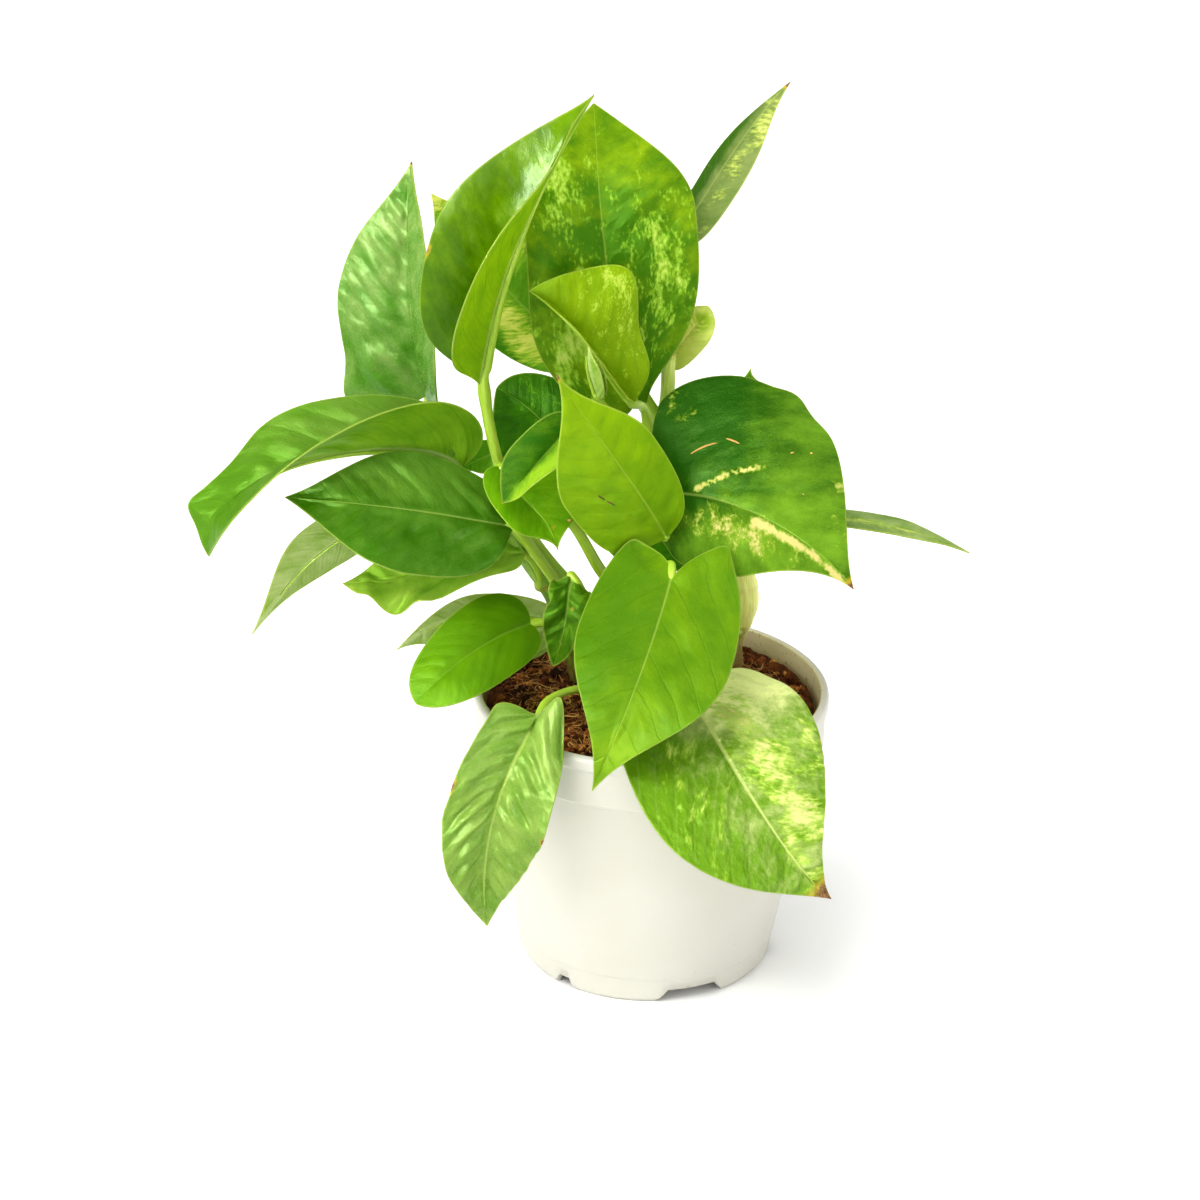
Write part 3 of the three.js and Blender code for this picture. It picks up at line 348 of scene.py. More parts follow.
LOOKS = {
    # Its light green is whitened, partly a painted sheen.
    "leaf_upper_left": dict(dark="569222", light="aec676", tone=[[0.1, 0, 0.4, 2, -0.15]], mottle=0.15,
        cell=[0.26, 2.6], scar=[[1.0, 0, 0.02, 0.3, 1]], dust_and_glint=0.05, slant=1.5, vein=0.0, ribtone=0.1,
        quilt=1.0, bend=0.7, pucker=0.6, calm=[[0.5, 0.9, 1.0, 0.8, 0.85]],
        push=[[0.02, -0.75, 0.13, 0.35, [-8, 0, -3]]], emboss=4.0, rough=0.24, sheen=0.7),
    "leaf_top_folded": dict(dark="4e7a00", light="86ae00", level=0.55,
        tone=[[0.15, -0.5, 0.3, 0.5, -0.35]], scar=[[0.38, -0.99, 0.02, 0.03, 0.8]], dust_and_glint=0.0, vein=0.0,
        crest=0.03, ribtone=0.15, quilt=0.1, bend=0.15, pucker=0.2,
        push=[[0.75, 0.7, 0.25, 0.5, [4.5, 0, 0]], [0.55, -1.0, 0.6, 0.6, [0, -3.2, 0]],
        [0.82, 0.0, 0.24, 0.16, [0, -2.1, 0]]], emboss=1.5, rough=0.14, sheen=0.8),
    # The first tone spot, towards the tip, is a painted sheen.
    "leaf_top_centre": dict(dark="407200", light="98b412", level=0.4,
        tone=[[0.8, 0.1, 0.2, 0.7, 0.1], [0.5, 0.05, 0.14, 0.6, -0.35], [0.2, 0.5, 0.2, 0.5, -0.15]],
        mottle=0.3, cream=[[0.68, -0.55, 0.25, 0.35, 0.38], [0.34, 0.65, 0.26, 0.4, 0.36],
        [0.15, -0.6, 0.16, 0.4, 0.44], [0.5, 0.1, 0.6, 0.9, 0.19]], yellow="d0e070", glow="9cc838",
        streak="length", fleck=0.9, soft=0.14, dust_and_glint=0.2, vein=0.0, crest=0.08,
        push=[[0.18, -0.9, 0.2, 0.6, [-5, 0, 0]], [-0.05, 0.6, 0.25, 0.42, [-11, 0, 0]]], emboss=2.0),
    "leaf_centre_folded": dict(dark="729600", light="96b404",
        cream=[[0.5, 0.4, 0.5, 0.7, 0.28], [0.7, 0.8, 0.4, 0.2, 0.3]], yellow="d0dc62", glow="b0d23e",
        fleck=0.55, stretch=1.5, soft=0.14, vein=0.02,
        push=[[0.25, 1.0, 0.25, 0.6, [-6, 0, 0]], [0.64, 0.95, 0.16, 0.5, [1, 0, 3.5]]]),
    "leaf_centre_lime": dict(dark="649000", light="8aae06", tone=[[0.9, 0.3, 0.3, 0.8, 0.5]],
        mottle=0.1, scar=[[1.0, 0, 0.03, 0.3, 1]], vein=-0.12, emboss=1.5, rough=0.38),
    # Its first tone spot darkens the base, partly its own dark green and partly painted shade; the second
    # and third are a painted sheen.
    "leaf_right_dark": dict(dark="1c4e00", light="76a028", level=0.3,
        tone=[[0.08, -0.5, 0.42, 0.7, -0.42], [0.62, -0.2, 0.4, 0.8, 0.4],
        [0.43, -0.88, 0.14, 0.25, 0.25], [0.4, 0.6, 0.6, 0.5, 0.3]], mottle=0.15,
        cream=[[0.06, -0.64, 0.08, 0.14, 0.38], [0.25, 0.34, 0.14, 0.28, 0.4],
        [0.44, 0.32, 0.12, 0.26, 0.41], [0.62, 0.34, 0.14, 0.22, 0.37], [0.71, -0.53, 0.05, 0.08, 0.44],
        [0.8, -0.25, 0.12, 0.12, 0.34], [0.5, 0.3, 0.5, 0.4, 0.07]], yellow="dccf86", glow="90ac30",
        fleck=0.85, stretch=1.7, soft=0.12,
        dash=[[0.18, -0.05, 0.42, -0.36, 0.85, 0.85], [0.5, 0.06, 0.96, 0.03, 1.5, 0.74]],
        scar=[[1.0, 0, 0.04, 0.3, 1]], slant=1.2, vein=0.0, crest=0.04, quilt=0.06,
        push=[[0.5, -0.95, 0.06, 0.3, [-1.6, 0, -1.0]], [0.34, -1.0, 0.06, 0.3, [-0.5, 0, -1.0]]],
        rough=0.36),
    # The first tone spot brings the base up to its very pale light green: a painted sheen, lifted further
    # against the shade there.
    "leaf_lower_right": dict(dark="6e9a14", light="fafeb0", level=0.27,
        tone=[[0.0, -0.5, 0.15, 0.6, 0.9], [0.5, 0.8, 0.6, 0.3, -0.3]], mottle=0.35, cell=[0.42, 1.4],
        cream=[[0.1, -0.24, 0.08, 0.3, 0.44], [0.3, -0.3, 0.16, 0.4, 0.52],
        [0.6, -0.36, 0.18, 0.3, 0.62], [0.36, -0.85, 0.16, 0.14, 0.42], [0.7, -0.06, 0.15, 0.1, 0.42],
        [0.15, 0.39, 0.12, 0.2, 0.3], [0.4, 0.5, 0.2, 0.3, 0.32], [0.9, 0, 0.1, 0.2, 0.55]],
        yellow="ecea9c", glow="b0d448", fleck=1.1, stretch=2.6,
        scar=[[1.0, 0, 0.12, 0.6, 1.1], [0.36, -0.99, 0.01, 0.03, 1]], dust_and_glint=0.15, slant=1.2, vein=0.06,
        rib=0.7, ribtone=0.6, quilt=0.7, bend=1.0, pucker=0.35, hem=0.4,
        push=[[0.0, -0.75, 0.28, 0.5, [2, 0, 6]]], emboss=5.0, rough=0.34, sheen=0.6),
    "leaf_lower_left": dict(dark="709c32", light="a6c260", mottle=0.15, cell=[0.26, 2.6],
        scar=[[0.55, -0.99, 0.02, 0.04, 1], [0.4, 0.99, 0.02, 0.04, 1]], dust_and_glint=0.1, veins=12, slant=1.2,
        vein=0.1, rib=0.7, ribtone=0.7, quilt=1.0, bend=1.0, pucker=0.9, hem=0.35,
        push=[[-0.01, -0.35, 0.09, 0.3, [2, 1, 10]], [0.03, 0.7, 0.09, 0.3, [-2.5, 0, 2]]], emboss=5.0,
        rough=0.28, sheen=0.7),
    "leaf_left_oval": dict(dark="548400", light="6c9c00", mottle=0.05, slant=1.3, vein=0.0, crest=0.08,
        rib=0.4, ribtone=0.25, quilt=0.12, push=[[0.6, 0.9, 0.35, 0.6, [3.5, 0, -1]]], emboss=0.8,
        sheen=0.5),
    "leaf_left_pale": dict(dark="94b844", light="b4cc70", under="pale", keel=0.3),
    # The second tone spot, towards the tip, is a painted sheen.
    "leaf_front_heart": dict(dark="528000", light="789c04", level=0.42,
        tone=[[0.0, 0, 0.3, 0.4, 0.1], [0.85, 0, 0.3, 0.6, 0.3], [0.4, 0.6, 0.6, 0.5, -0.25]],
        mottle=0.15, cell=[0.3, 2.0], dust_and_glint=0.25, veins=6, slant=1.3, vein=-0.4, crest=0.3, rib=0.4,
        ribtone=0.45,
        push=[[-0.15, -0.3, 0.1, 0.25, [5, 0, 1]], [-0.15, 0.35, 0.1, 0.25, [-3.5, 0, -2.5]]],
        emboss=1.5, sheen=0.6),
    "leaf_left_arching": dict(dark="5a8a1c", light="7c9842", tone=[[0.95, 0, 0.3, 2, -0.55]],
        mottle=0.1, cell=[0.3, 2.0], dust_and_glint=0.3, vein=0.0, quilt=0.5, bend=0.6, pucker=0.3,
        push=[[0.15, -0.9, 0.3, 0.6, [0, 0, 3]], [0.74, 0.85, 0.1, 0.5, [2.6, 0, -2.6]],
        [0.87, 0.5, 0.04, 0.5, [-2.8, 0, 0.5]]], emboss=2.5, rough=0.36),
    # The first tone spot, lighter over one half, is a painted sheen; the second darkens the other half.
    "leaf_left_broad": dict(dark="3c6e00", light="648e2a", level=0.4,
        tone=[[0.5, 0.6, 0.6, 0.5, 0.3], [0.5, -0.6, 0.6, 0.5, -0.15]], mottle=0.08,
        scar=[[0.05, 0.16, 0.012, 0.05, 0.9], [0.04, 0.28, 0.012, 0.05, 0.9]], dust_and_glint=0.25, slant=1.3,
        vein=-0.1, rib=0.4, ribtone=0.5, quilt=0.35, bend=0.9, pucker=0.2,
        push=[[0.12, 0.9, 0.2, 0.6, [0, 0, -3]]], emboss=2.0, rough=0.34, sheen=0.5),
    "leaf_left_drooping": dict(dark="90b64a", light="a8c86a", under="pale", keel=0.3),
    "leaf_left_wavy": dict(dark="74ae0c", light="b4d458", level=0.6, quilt=0.5,
        push=[[0.25, -0.9, 0.28, 0.6, [0, 0, 6]], [0.62, -0.9, 0.07, 0.5, [0, 0, 2.5]],
        [0.85, -0.5, 0.06, 0.4, [0, 0, 2]]]),
    "leaf_small_torn": dict(dark="2c5800", light="588406", mottle=0.25,
        scar=[[0.5, -0.95, 0.1, 0.05, 0.7], [0.42, -0.25, 0.02, 0.06, 0.8]], veins=5, crest=0.05,
        quilt=0.1, pucker=0.4, hem=0.2, push=[[0.0, -0.5, 0.15, 0.35, [2.5, 0, -5.0]],
        [0.0, 0.5, 0.1, 0.3, [-1, 0, -2.5]], [0.35, 0.9, 0.08, 0.5, [1.6, 0, 0]],
        [0.75, -0.9, 0.1, 0.5, [-1.6, 0, 0]]], emboss=3.0),
    "leaf_behind_centre": dict(dark="205000", light="468204", cream=[[0.5, 0.3, 0.6, 0.9, 0.3]],
        yellow="8cb830", glow="5c9418", fleck=0.7, stretch=1.5, vein=0.0, quilt=0.05, rough=0.45),
    "leaf_centre_small": dict(dark="3c7a18", light="a4cc34", level=0.3,
        tone=[[0.5, -0.6, 0.8, 0.4, 0.7], [0.5, 0.5, 0.8, 0.5, 0.05]], scar=[[1.02, 0, 0.03, 0.3, 0.8]],
        dust_and_glint=0.2, vein=0.0, push=[[0.66, -0.95, 0.25, 0.5, [-1.5, 0, 2.2]]], sheen=0.5),
    "leaf_centre_pointed": dict(dark="549000", light="8aba16",
        scar=[[1.0, 0, 0.03, 0.3, 1], [0.79, -0.06, 0.012, 0.04, 0.8], [0.8, -0.36, 0.01, 0.03, 0.8]],
        vein=0.0, quilt=0.08, bend=0.2, push=[[0.72, -0.95, 0.13, 0.6, [5.5, 0, 0]]]),
    "leaf_centre_under": dict(dark="387400", light="589410"),
    "leaf_far_right": dict(dark="688c2c", light="b0c07e", cream=[[0.45, 0.2, 0.5, 0.5, 0.62]],
        yellow="dcdc80", glow="a4c04c", streak="length"),
    "leaf_top_right": dict(dark="3e6a10", light="8c9a5c", level=0.7, tone=[[0.5, -0.8, 0.8, 0.5, -0.9]],
        cream=[[0.4, 0.4, 0.5, 0.5, 0.38], [0.85, 0.2, 0.2, 0.6, 0.24]], yellow="d8d888", glow="bcca60",
        scar=[[1.0, 0, 0.04, 0.4, 1]]),
    "leaf_right_yellow": dict(dark="9cbc34", light="e4ea8a", level=0.8,
        tone=[[0.75, 0.1, 0.15, 0.5, -0.9]], under="yellow", cream=[[0.45, -0.1, 0.6, 0.9, 0.62]],
        yellow="f6f0ac", glow="d4de64", fleck=0.9, vein=0.0, quilt=0.05),
    "leaf_behind_striped": dict(dark="4a8a0c", light="98c83c", tone=[[0.3, -0.97, 0.4, 0.12, -0.8]],
        cream=[[0.28, -0.45, 0.3, 0.4, 0.72], [0.5, 0.8, 0.4, 0.4, 0.5], [1.0, 0, 0.12, 0.5, 0.9]],
        yellow="f0ee80", glow="bcd448", fleck=0.75, stretch=4.5,
        push=[[0.45, 1.0, 0.3, 0.4, [3.2, 0, 3.2]]]),
    "leaf_behind_right": dict(dark="3e7c00", light="629c1c"),
    "leaf_left_behind": dict(dark="549600", light="80b42c"),
    "leaf_unfurling": dict(dark="4c8414", light="b4c858", cream=[[0.5, 0, 0.6, 0.9, 0.56]],
        yellow="e4e4a0", glow="b8d050", streak="length", fleck=0.9),
}

# Undersides, by the leaf's colour or by what its look says: dark and light
UNDERSIDES = {"fresh": ("649410", "80aa20"), "lime": ("82b000", "a0c806"), "deep": ("7aa614", "96bc2c"),
              "marbled": ("8ab240", "b2cc68"), "pale": ("94b250", "bccc88"), "yellow": ("c2cc58", "e6e89c")}

# Threads of coir (0) and dry scratches (1) on the blades: leaf, from (u, v) to (u, v), radius, kind
BITS = [("leaf_right_dark", 0.26, -0.38, 0.34, -0.44, 0.28, 0),
        ("leaf_right_dark", 0.36, -0.48, 0.39, -0.46, 0.3, 0),
        ("leaf_right_dark", 0.54, -0.61, 0.545, -0.64, 0.25, 0),
        ("leaf_right_dark", 0.58, -0.75, 0.585, -0.77, 0.28, 0),
        ("leaf_right_dark", 0.66, -0.46, 0.665, -0.47, 0.22, 0),
        ("leaf_centre_lime", 0.45, -0.53, 0.42, -0.48, 0.2, 1),
        ("leaf_centre_lime", 0.41, -0.47, 0.39, -0.41, 0.2, 1),
        ("leaf_left_broad", 0.11, 0.66, 0.11, 0.6, 0.3, 0),
        ("leaf_left_broad", 0.11, 0.4, 0.1, 0.44, 0.34, 0),
        ("leaf_centre_pointed", 0.74, -0.88, 0.75, -0.8, 0.4, 0)]


def paint(code):
    """Colour of a six-digit code, as four linear numbers: ((s + 0.055) / 1.055) ** 2.4."""
    share = np.array([int(code[i:i + 2], 16) for i in (0, 2, 4)]) / 255
    linear = np.where(share < 0.04045, share / 12.92, ((share + 0.055) / 1.055) ** 2.4)
    return (*(float(v) for v in linear), 1.0)


def mixed(share, first, second):
    """Colour that lies the share of the way from the first to the second."""
    return tuple((1 - share) * a + share * b for a, b in zip(first, second))


class Finish:
    """A material in the making: each call adds nodes and gives back what comes out of the last."""

    def __init__(self, name):
        self.material = bpy.data.materials.new(name)
        self.material.use_nodes = True
        self.tree = self.material.node_tree
        self.tree.nodes.clear()

    def node(self, kind, inputs=(), out=0, **settings):
        made = self.tree.nodes.new("ShaderNode" + kind)
        for key, value in settings.items():
            setattr(made, key, value)
        for key, value in dict(inputs).items():
            if isinstance(value, bpy.types.NodeSocket):
                self.tree.links.new(value, made.inputs[key])
            else:
                made.inputs[key].default_value = value
        return made.outputs[out]

    def math(self, operation, *values):
        return self.node("Math", enumerate(values), operation=operation)

    def plus(self, *values):
        return self.math("ADD", *values)

    def times(self, *values):
        return self.math("MULTIPLY", *values)

    def vary(self, value, noise, strength):
        """The value plus the strength times how far the noise is from its middle, 0.5."""
        return self.plus(value, self.times(self.math("SUBTRACT", noise, 0.5), strength))

    def own(self, name, out="Fac"):
        """The piece's own number, or place, of that name."""
        return self.node("Attribute", out=out, attribute_name=name)

    def object_place(self):
        return self.node("TexCoord", out="Object")

    def split(self, place):
        return self.node("SeparateXYZ", {"Vector": place}).node.outputs

    def join(self, x, y, z=0.0):
        return self.node("CombineXYZ", {"X": x, "Y": y, "Z": z})

    def ramp(self, value, low, high, start=0.0, end=1.0):
        """Smooth step from start, where the value is low, to end, where it is high."""
        inputs = enumerate((value, low, high, start, end))
        return self.node("MapRange", inputs, interpolation_type="SMOOTHSTEP")

    def fall(self, value, low, high, top=1.0):
        """Smooth step down from top, where the value is low, to 0."""
        return self.ramp(value, low, high, top, 0.0)

    def noise(self, place, scale, detail=2.0, rough=0.5):
        inputs = {"Vector": place, "Scale": scale, "Detail": detail, "Roughness": rough}
        return self.node("TexNoise", inputs)

    def blend(self, share, first, second, mode="MIX"):
        inputs = {0: share, 6: first, 7: second}
        return self.node("Mix", inputs, out=2, data_type="RGBA", blend_type=mode, clamp_factor=True)

    def bump(self, height, strength, distance):
        return self.node("Bump", {"Height": height, "Strength": strength, "Distance": distance})

    def body(self, colour, rough, others=()):
        """The main shader, with others as its further sockets."""
        return self.node("BsdfPrincipled", {"Base Color": colour, "Roughness": rough, **dict(others)})

    def close(self, shader):
        end = self.tree.nodes.new("ShaderNodeOutputMaterial")
        self.tree.links.new(shader, end.inputs["Surface"])
        return self.material


def unit(a):
    """The same directions, each of length 1."""
    return a / np.linalg.norm(a, axis=-1, keepdims=True)


def turns(count):
    """Angles of that many even steps round a circle."""
    return np.arange(count) * 2 * np.pi / count


def smooth(low, high, value):
    """Smooth step from 0 at low to 1 at high: t t (3 - 2 t)."""
    t = np.clip((value - low) / (high - low), 0, 1)
    return t * t * (3 - 2 * t)


def rib_at(rib, x):
    """Point and direction of the midrib at x.

    The point is the cubic through the four rib points at x = 0, 1/3, 2/3 and 1, and before the
    stalk's end the rib runs straight on along its direction there.
    """
    c = np.clip(x, 0, 1)
    t = 3 * c
    weight = (-(t - 1) * (t - 2) * (t - 3) / 6, t * (t - 2) * (t - 3) / 2,
              -t * (t - 1) * (t - 3) / 2, t * (t - 1) * (t - 2) / 6)
    slope = (-((t - 2) * (t - 3) + (t - 1) * (t - 3) + (t - 1) * (t - 2)) / 2,
             3 * ((t - 2) * (t - 3) + t * (t - 3) + t * (t - 2)) / 2,
             -3 * ((t - 1) * (t - 3) + t * (t - 3) + t * (t - 1)) / 2,
             ((t - 1) * (t - 2) + t * (t - 2) + t * (t - 1)) / 2)
    points = np.array(rib, dtype=float)
    point = sum(w[..., None] * p for w, p in zip(weight, points))
    along = sum(w[..., None] * p for w, p in zip(slope, points))
    return point + (x - c)[..., None] * along, unit(along)


def margin(u, leaf):
    """Outline of one half at u: x along the midrib and y out from it, as shares.

    Two cubic Bezier curves: from the stalk round the lobe to the widest place (u up to 0.4), and
    from there to the tip.
    """
    lobe, wide, tip = leaf["lobe"], leaf["wide"], leaf["tip"]
    t = np.clip(u / WIDEST_U, 0, 1)
    m = 1 - t
    x_low = 3 * m * m * t * -2 * lobe + 3 * m * t * t * -0.8 * lobe + t ** 3 * wide
    y_low = 3 * m * m * t * (0.45 - lobe) + 3 * m * t * t + t ** 3
    t = np.clip((u - WIDEST_U) / (1 - WIDEST_U), 0, 1)
    m = 1 - t
    near, far, rest = 3 * m * m * t, 3 * m * t * t, 1 - wide
    x_high = m ** 3 * wide + near * (wide + 0.42 * rest) + far * (1 - tip[0] * rest) + t ** 3
    y_high = m ** 3 + near + far * tip[1]
    return np.where(u < WIDEST_U, x_low, x_high), np.where(u < WIDEST_U, y_low, y_high)


def up_at(leaf, along, k):
    """Way out of the upper side at the share k of the midrib: the face there, made square to it."""
    face = np.broadcast_to(np.array(leaf["face"], dtype=float), (2, 3))
    facing = face[0] * (1 - k)[..., None] + face[1] * k[..., None]
    return unit(facing - along * np.sum(facing * along, axis=-1, keepdims=True))


def blade_point(leaf, u, v):
    """Middle surface of a blade at (u, v), u from stalk to tip and v from left margin to right.

    At the distance d out from the midrib, the half rises at the angle fold + curl d, so it goes out
    by (sin(fold + curl d) - sin(fold)) / curl and up by (cos(fold) - cos(fold + curl d)) / curl.
    A sine along the margin, times d squared, ripples it. Gives the point, x, and mm from the midrib.
    """
    side = (v > 0).astype(int)
    out = np.abs(v)
    edge_x, edge_y = margin(u, leaf)
    start = u * (0.55 + 0.45 * u)
    x = start + (edge_x - start) * out
    d = edge_y * out
    k = np.clip(x, 0, 1)
    folds = np.broadcast_to(np.array(leaf["fold"], dtype=float), (2, 2))
    fold = np.radians(folds[0][side] * (1 - k) + folds[1][side] * k)
    curl = np.radians(np.broadcast_to(np.array(leaf["curl"], dtype=float), 2)[side]) + 1e-6
    across = (np.sin(fold + curl * d) - np.sin(fold)) / curl
    rise = (np.cos(fold) - np.cos(fold + curl * d)) / curl
    point, along = rib_at(leaf["rib"], x)
    up = up_at(leaf, along, k)
    right = np.cross(along, up)
    height, ripples, begin = leaf["wave"]
    ripple = height * np.sin(2 * np.pi * (ripples * u + begin) + 1.3 * side) * d * d
    half = np.array(leaf["half"], dtype=float)[side]
    point = point + right * (np.sign(v) * half * across)[..., None] + up * (half * rise + ripple)[..., None]
    return point, x, d * half * np.sign(v)


def blade_normal(leaf, u, v):
    """Unit normal on the upper side: the cross product of small steps along v and along u."""
    step = 1e-3
    inside = np.clip(u, 0.03, 0.97)
    high = np.minimum(v + step, 1)
    along_u = blade_point(leaf, inside + step, v)[0] - blade_point(leaf, inside - step, v)[0]
    along_v = blade_point(leaf, inside, high)[0] - blade_point(leaf, inside, high - 2 * step)[0]
    return unit(np.cross(along_v, along_u))


def spots(marks, along, across, level=0.0):
    """Soft spots: level plus, for each, strength times exp(-(dx / length)^2 - (dy / width)^2)."""
    total = np.full(along.shape, float(level))
    for x, y, length, width, strength in marks:
        total += strength * np.exp(-((along - x) / length) ** 2 - ((across - y) / width) ** 2)
    return total


def strokes(marks, x, s, length, half):
    """Soft lines: for each, strength exp(-(distance / width)^2) from the stretch between its ends."""
    total = np.zeros(x.shape)
    place = np.stack([x * length, s], axis=-1)
    size = np.array([length, half.max()])
    for x0, y0, x1, y1, width, strength in marks:
        a, b = np.array([x0, y0]) * size, np.array([x1, y1]) * size
        t = np.clip((place - a) @ (b - a) / ((b - a) @ (b - a)), 0, 1)
        gap = np.linalg.norm(place - a - t[..., None] * (b - a), axis=-1)
        total += strength * np.exp(-(gap / width) ** 2)
    return total


def skin(rings, ends):
    """Closed skin over rings of points: a quad between neighbours, and a fan to a point at each end."""
    count, sides = rings.shape[:2]
    index = np.arange(count * sides).reshape(count, sides)
    after = np.roll(index, -1, axis=1)
    quads = np.stack([index[:-1], after[:-1], after[1:], index[1:]], axis=-1).reshape(-1, 4)
    tip = count * sides
    start = np.stack([np.full(sides, tip), after[0], index[0]], axis=-1)
    end = np.stack([np.full(sides, tip + 1), index[-1], after[-1]], axis=-1)
    return np.concatenate([rings.reshape(-1, 3), ends]), quads, np.concatenate([start, end])


def joined(*skins):
    """Points and faces of several skins as one mesh: each skin's numbers go on from the last one's."""
    faces, start = [], 0
    for points, quads, fans in skins:
        faces += (quads + start).tolist() + (fans + start).tolist()
        start += len(points)
    return np.concatenate([points for points, _, _ in skins]), faces


def with_ends(values):
    """Values at the points of a skin: those of its rings in a row, then those next to its two ends."""
    flat = values.reshape(-1, *values.shape[2:])
    return np.concatenate([flat, flat[:1], flat[-1:]])


def route(points, steps):
    """Catmull-Rom curve through the points, each stretch in the same number of steps."""
    p = np.array(points, dtype=float)
    p = np.concatenate([[2 * p[0] - p[1]], p, [2 * p[-1] - p[-2]]])
    t = (np.arange(steps) / steps)[None, :, None]
    a, b, c, d = p[:-3, None], p[1:-2, None], p[2:-1, None], p[3:, None]
    out, into = (c - a) / 2, (d - b) / 2
    curve = b + out * t + (3 * (c - b) - 2 * out - into) * t ** 2 + (2 * (b - c) + out + into) * t ** 3
    return np.concatenate([curve.reshape(-1, 3), p[-2:-1]])


def along_path(path):
    """Length run at each point of a path, in mm."""
    return np.concatenate([[0], np.cumsum(np.linalg.norm(np.diff(path, axis=0), axis=1))])


def rod(path, radius, sides, groove=0.0, toward=(0, 0, 1)):
    """Rings round a path at the given radius, made hollow by groove on the side that looks toward.

    The sides are set out from the one direction that the path runs along least, so the rings do
    not twist: point = path + radius (1 - groove exp(-(angle / 0.55)^2)) (cos a, sin a).
    """
    tangent = unit(np.gradient(path, axis=0))
    across = np.linalg.svd(tangent, full_matrices=False)[2][-1]
    first = unit(np.cross(tangent, across))
    second = np.cross(tangent, first)
    middle = len(path) // 2
    begin = math.atan2(float(second[middle] @ np.array(toward)), float(first[middle] @ np.array(toward)))
    turn = turns(sides)
    away = np.minimum(turn, 2 * np.pi - turn)
    reach = radius[:, None] * (1 - groove * np.exp(-(away / 0.55) ** 2))[None, :]
    angle = turn + begin
    spoke = first[:, None] * np.cos(angle)[None, :, None] + second[:, None] * np.sin(angle)[None, :, None]
    rings = path[:, None] + reach[..., None] * spoke
    cap = 0.4
    ends = np.stack([path[0] - tangent[0] * radius[0] * cap, path[-1] + tangent[-1] * radius[-1] * cap])
    return rings, ends


def make_piece(name, points, faces, finishes, marks=None, own=None, smooth_faces=True):
    """A mesh object from points in mm; marks names the finish of each face, own holds attributes."""
    mesh = bpy.data.meshes.new(name)
    mesh.from_pydata((points * MM).tolist(), [], faces)
    for finish in finishes:
        mesh.materials.append(finish)
    if marks is not None:
        mesh.polygons.foreach_set("material_index", np.asarray(marks, dtype=np.int32))
    mesh.polygons.foreach_set("use_smooth", np.full(len(mesh.polygons), smooth_faces))
    for key, values in (own or {}).items():
        kind = "FLOAT_VECTOR" if values.ndim == 2 else "FLOAT"
        layer = mesh.attributes.new(key, kind, "POINT")
        layer.data.foreach_set("vector" if values.ndim == 2 else "value", values.astype(np.float32).ravel())
    mesh.update()
    piece = bpy.data.objects.new(name, mesh)
    bpy.context.scene.collection.objects.link(piece)
    return piece


def lattice_noise(x, y, scale, rng):
    """Smooth noise: random heights on a square lattice, blended by t t (3 - 2 t) within each cell."""
    size = 128
    table = rng.random((size, size))
    gx, gy = x / scale + size / 2, y / scale + size / 2
    i, j = np.floor(gx).astype(int), np.floor(gy).astype(int)
    a, b = smooth(0, 1, gx - i), smooth(0, 1, gy - j)
    low = table[i % size, j % size] * (1 - a) + table[(i + 1) % size, j % size] * a
    high = table[i % size, (j + 1) % size] * (1 - a) + table[(i + 1) % size, (j + 1) % size] * a
    return low * (1 - b) + high * b - 0.5


def crinkle(x, y, scale, rng):
    """Smooth random height over (x, y) in mm, from -1.5 to 1.5, with swellings about the scale apart."""
    return 2 * lattice_noise(x, y, scale, rng) + lattice_noise(y + 7, x - 3, scale * 0.55, rng)


def on_blade(grid, rows, columns):
    """Points of a blade's grid at fractional rows and columns, blended from the four around each."""
    i = np.minimum(rows.astype(int), grid.shape[0] - 2)
    j = np.minimum(columns.astype(int), grid.shape[1] - 2)
    a, b = (rows - i)[:, None], (columns - j)[:, None]
    low = grid[i, j] * (1 - a) + grid[i + 1, j] * a
    return low * (1 - b) + (grid[i, j + 1] * (1 - a) + grid[i + 1, j + 1] * a) * b


def lay_bits(blades):
    """Coir threads and dry scratches on the blades: thin rods from one (u, v) to another, partly sunk.

    Each thins towards its ends as radius (1 - 0.5 |2 t - 1|^3).
    """
    t = np.linspace(0, 1, 9)
    skins = []
    for name, u0, v0, u1, v1, radius, _ in BITS:
        u, v, upper, normal = blades[name]
        rows = np.interp(u0 + (u1 - u0) * t, u, np.arange(len(u)))
        columns = np.interp(v0 + (v1 - v0) * t, v, np.arange(len(v)))
        path = on_blade(upper, rows, columns) + on_blade(normal, rows, columns) * radius * BIT_RISE
        skins.append(skin(*rod(path, radius * (1 - 0.5 * np.abs(2 * t - 1) ** 3), BIT_SIDES)))
    points, faces = joined(*skins)
    marks = np.repeat([bit[-1] for bit in BITS], len(faces) // len(BITS))
    piece = make_piece("leaf_bits", points, faces, [fibre_finish(), scratch_finish()], marks,
                       {"grain": np.full(len(points), 0.9)})
    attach(piece, "root")


def scratch_finish():
    """Dry scratch: nearly black, a little browner in places."""
    f = Finish("dry_scratch")
    tone = f.noise(f.object_place(), scale=700.0)
    colour = f.blend(f.ramp(tone, 0.3, 0.7), SCRATCH_BLACK, SCRATCH_BROWN)
    return f.close(f.body(colour, 0.8))


def blade_grid(length):
    """Steps along a blade, closer at both ends, and across it, closer at the midrib as |t|^1.25."""
    rows, columns = FINE_GRID if length > LONG_BLADE else COARSE_GRID
    u = 0.5 - 0.5 * np.cos(np.linspace(0.03, 0.985, rows) * np.pi)
    u = 0.5 * u + 0.5 * np.linspace(0.004, 0.996, rows)
    t = np.linspace(-1, 1, columns - 1)
    return u, np.concatenate([[-1], 0.985 * np.sign(t) * np.abs(t) ** 1.25, [1]])


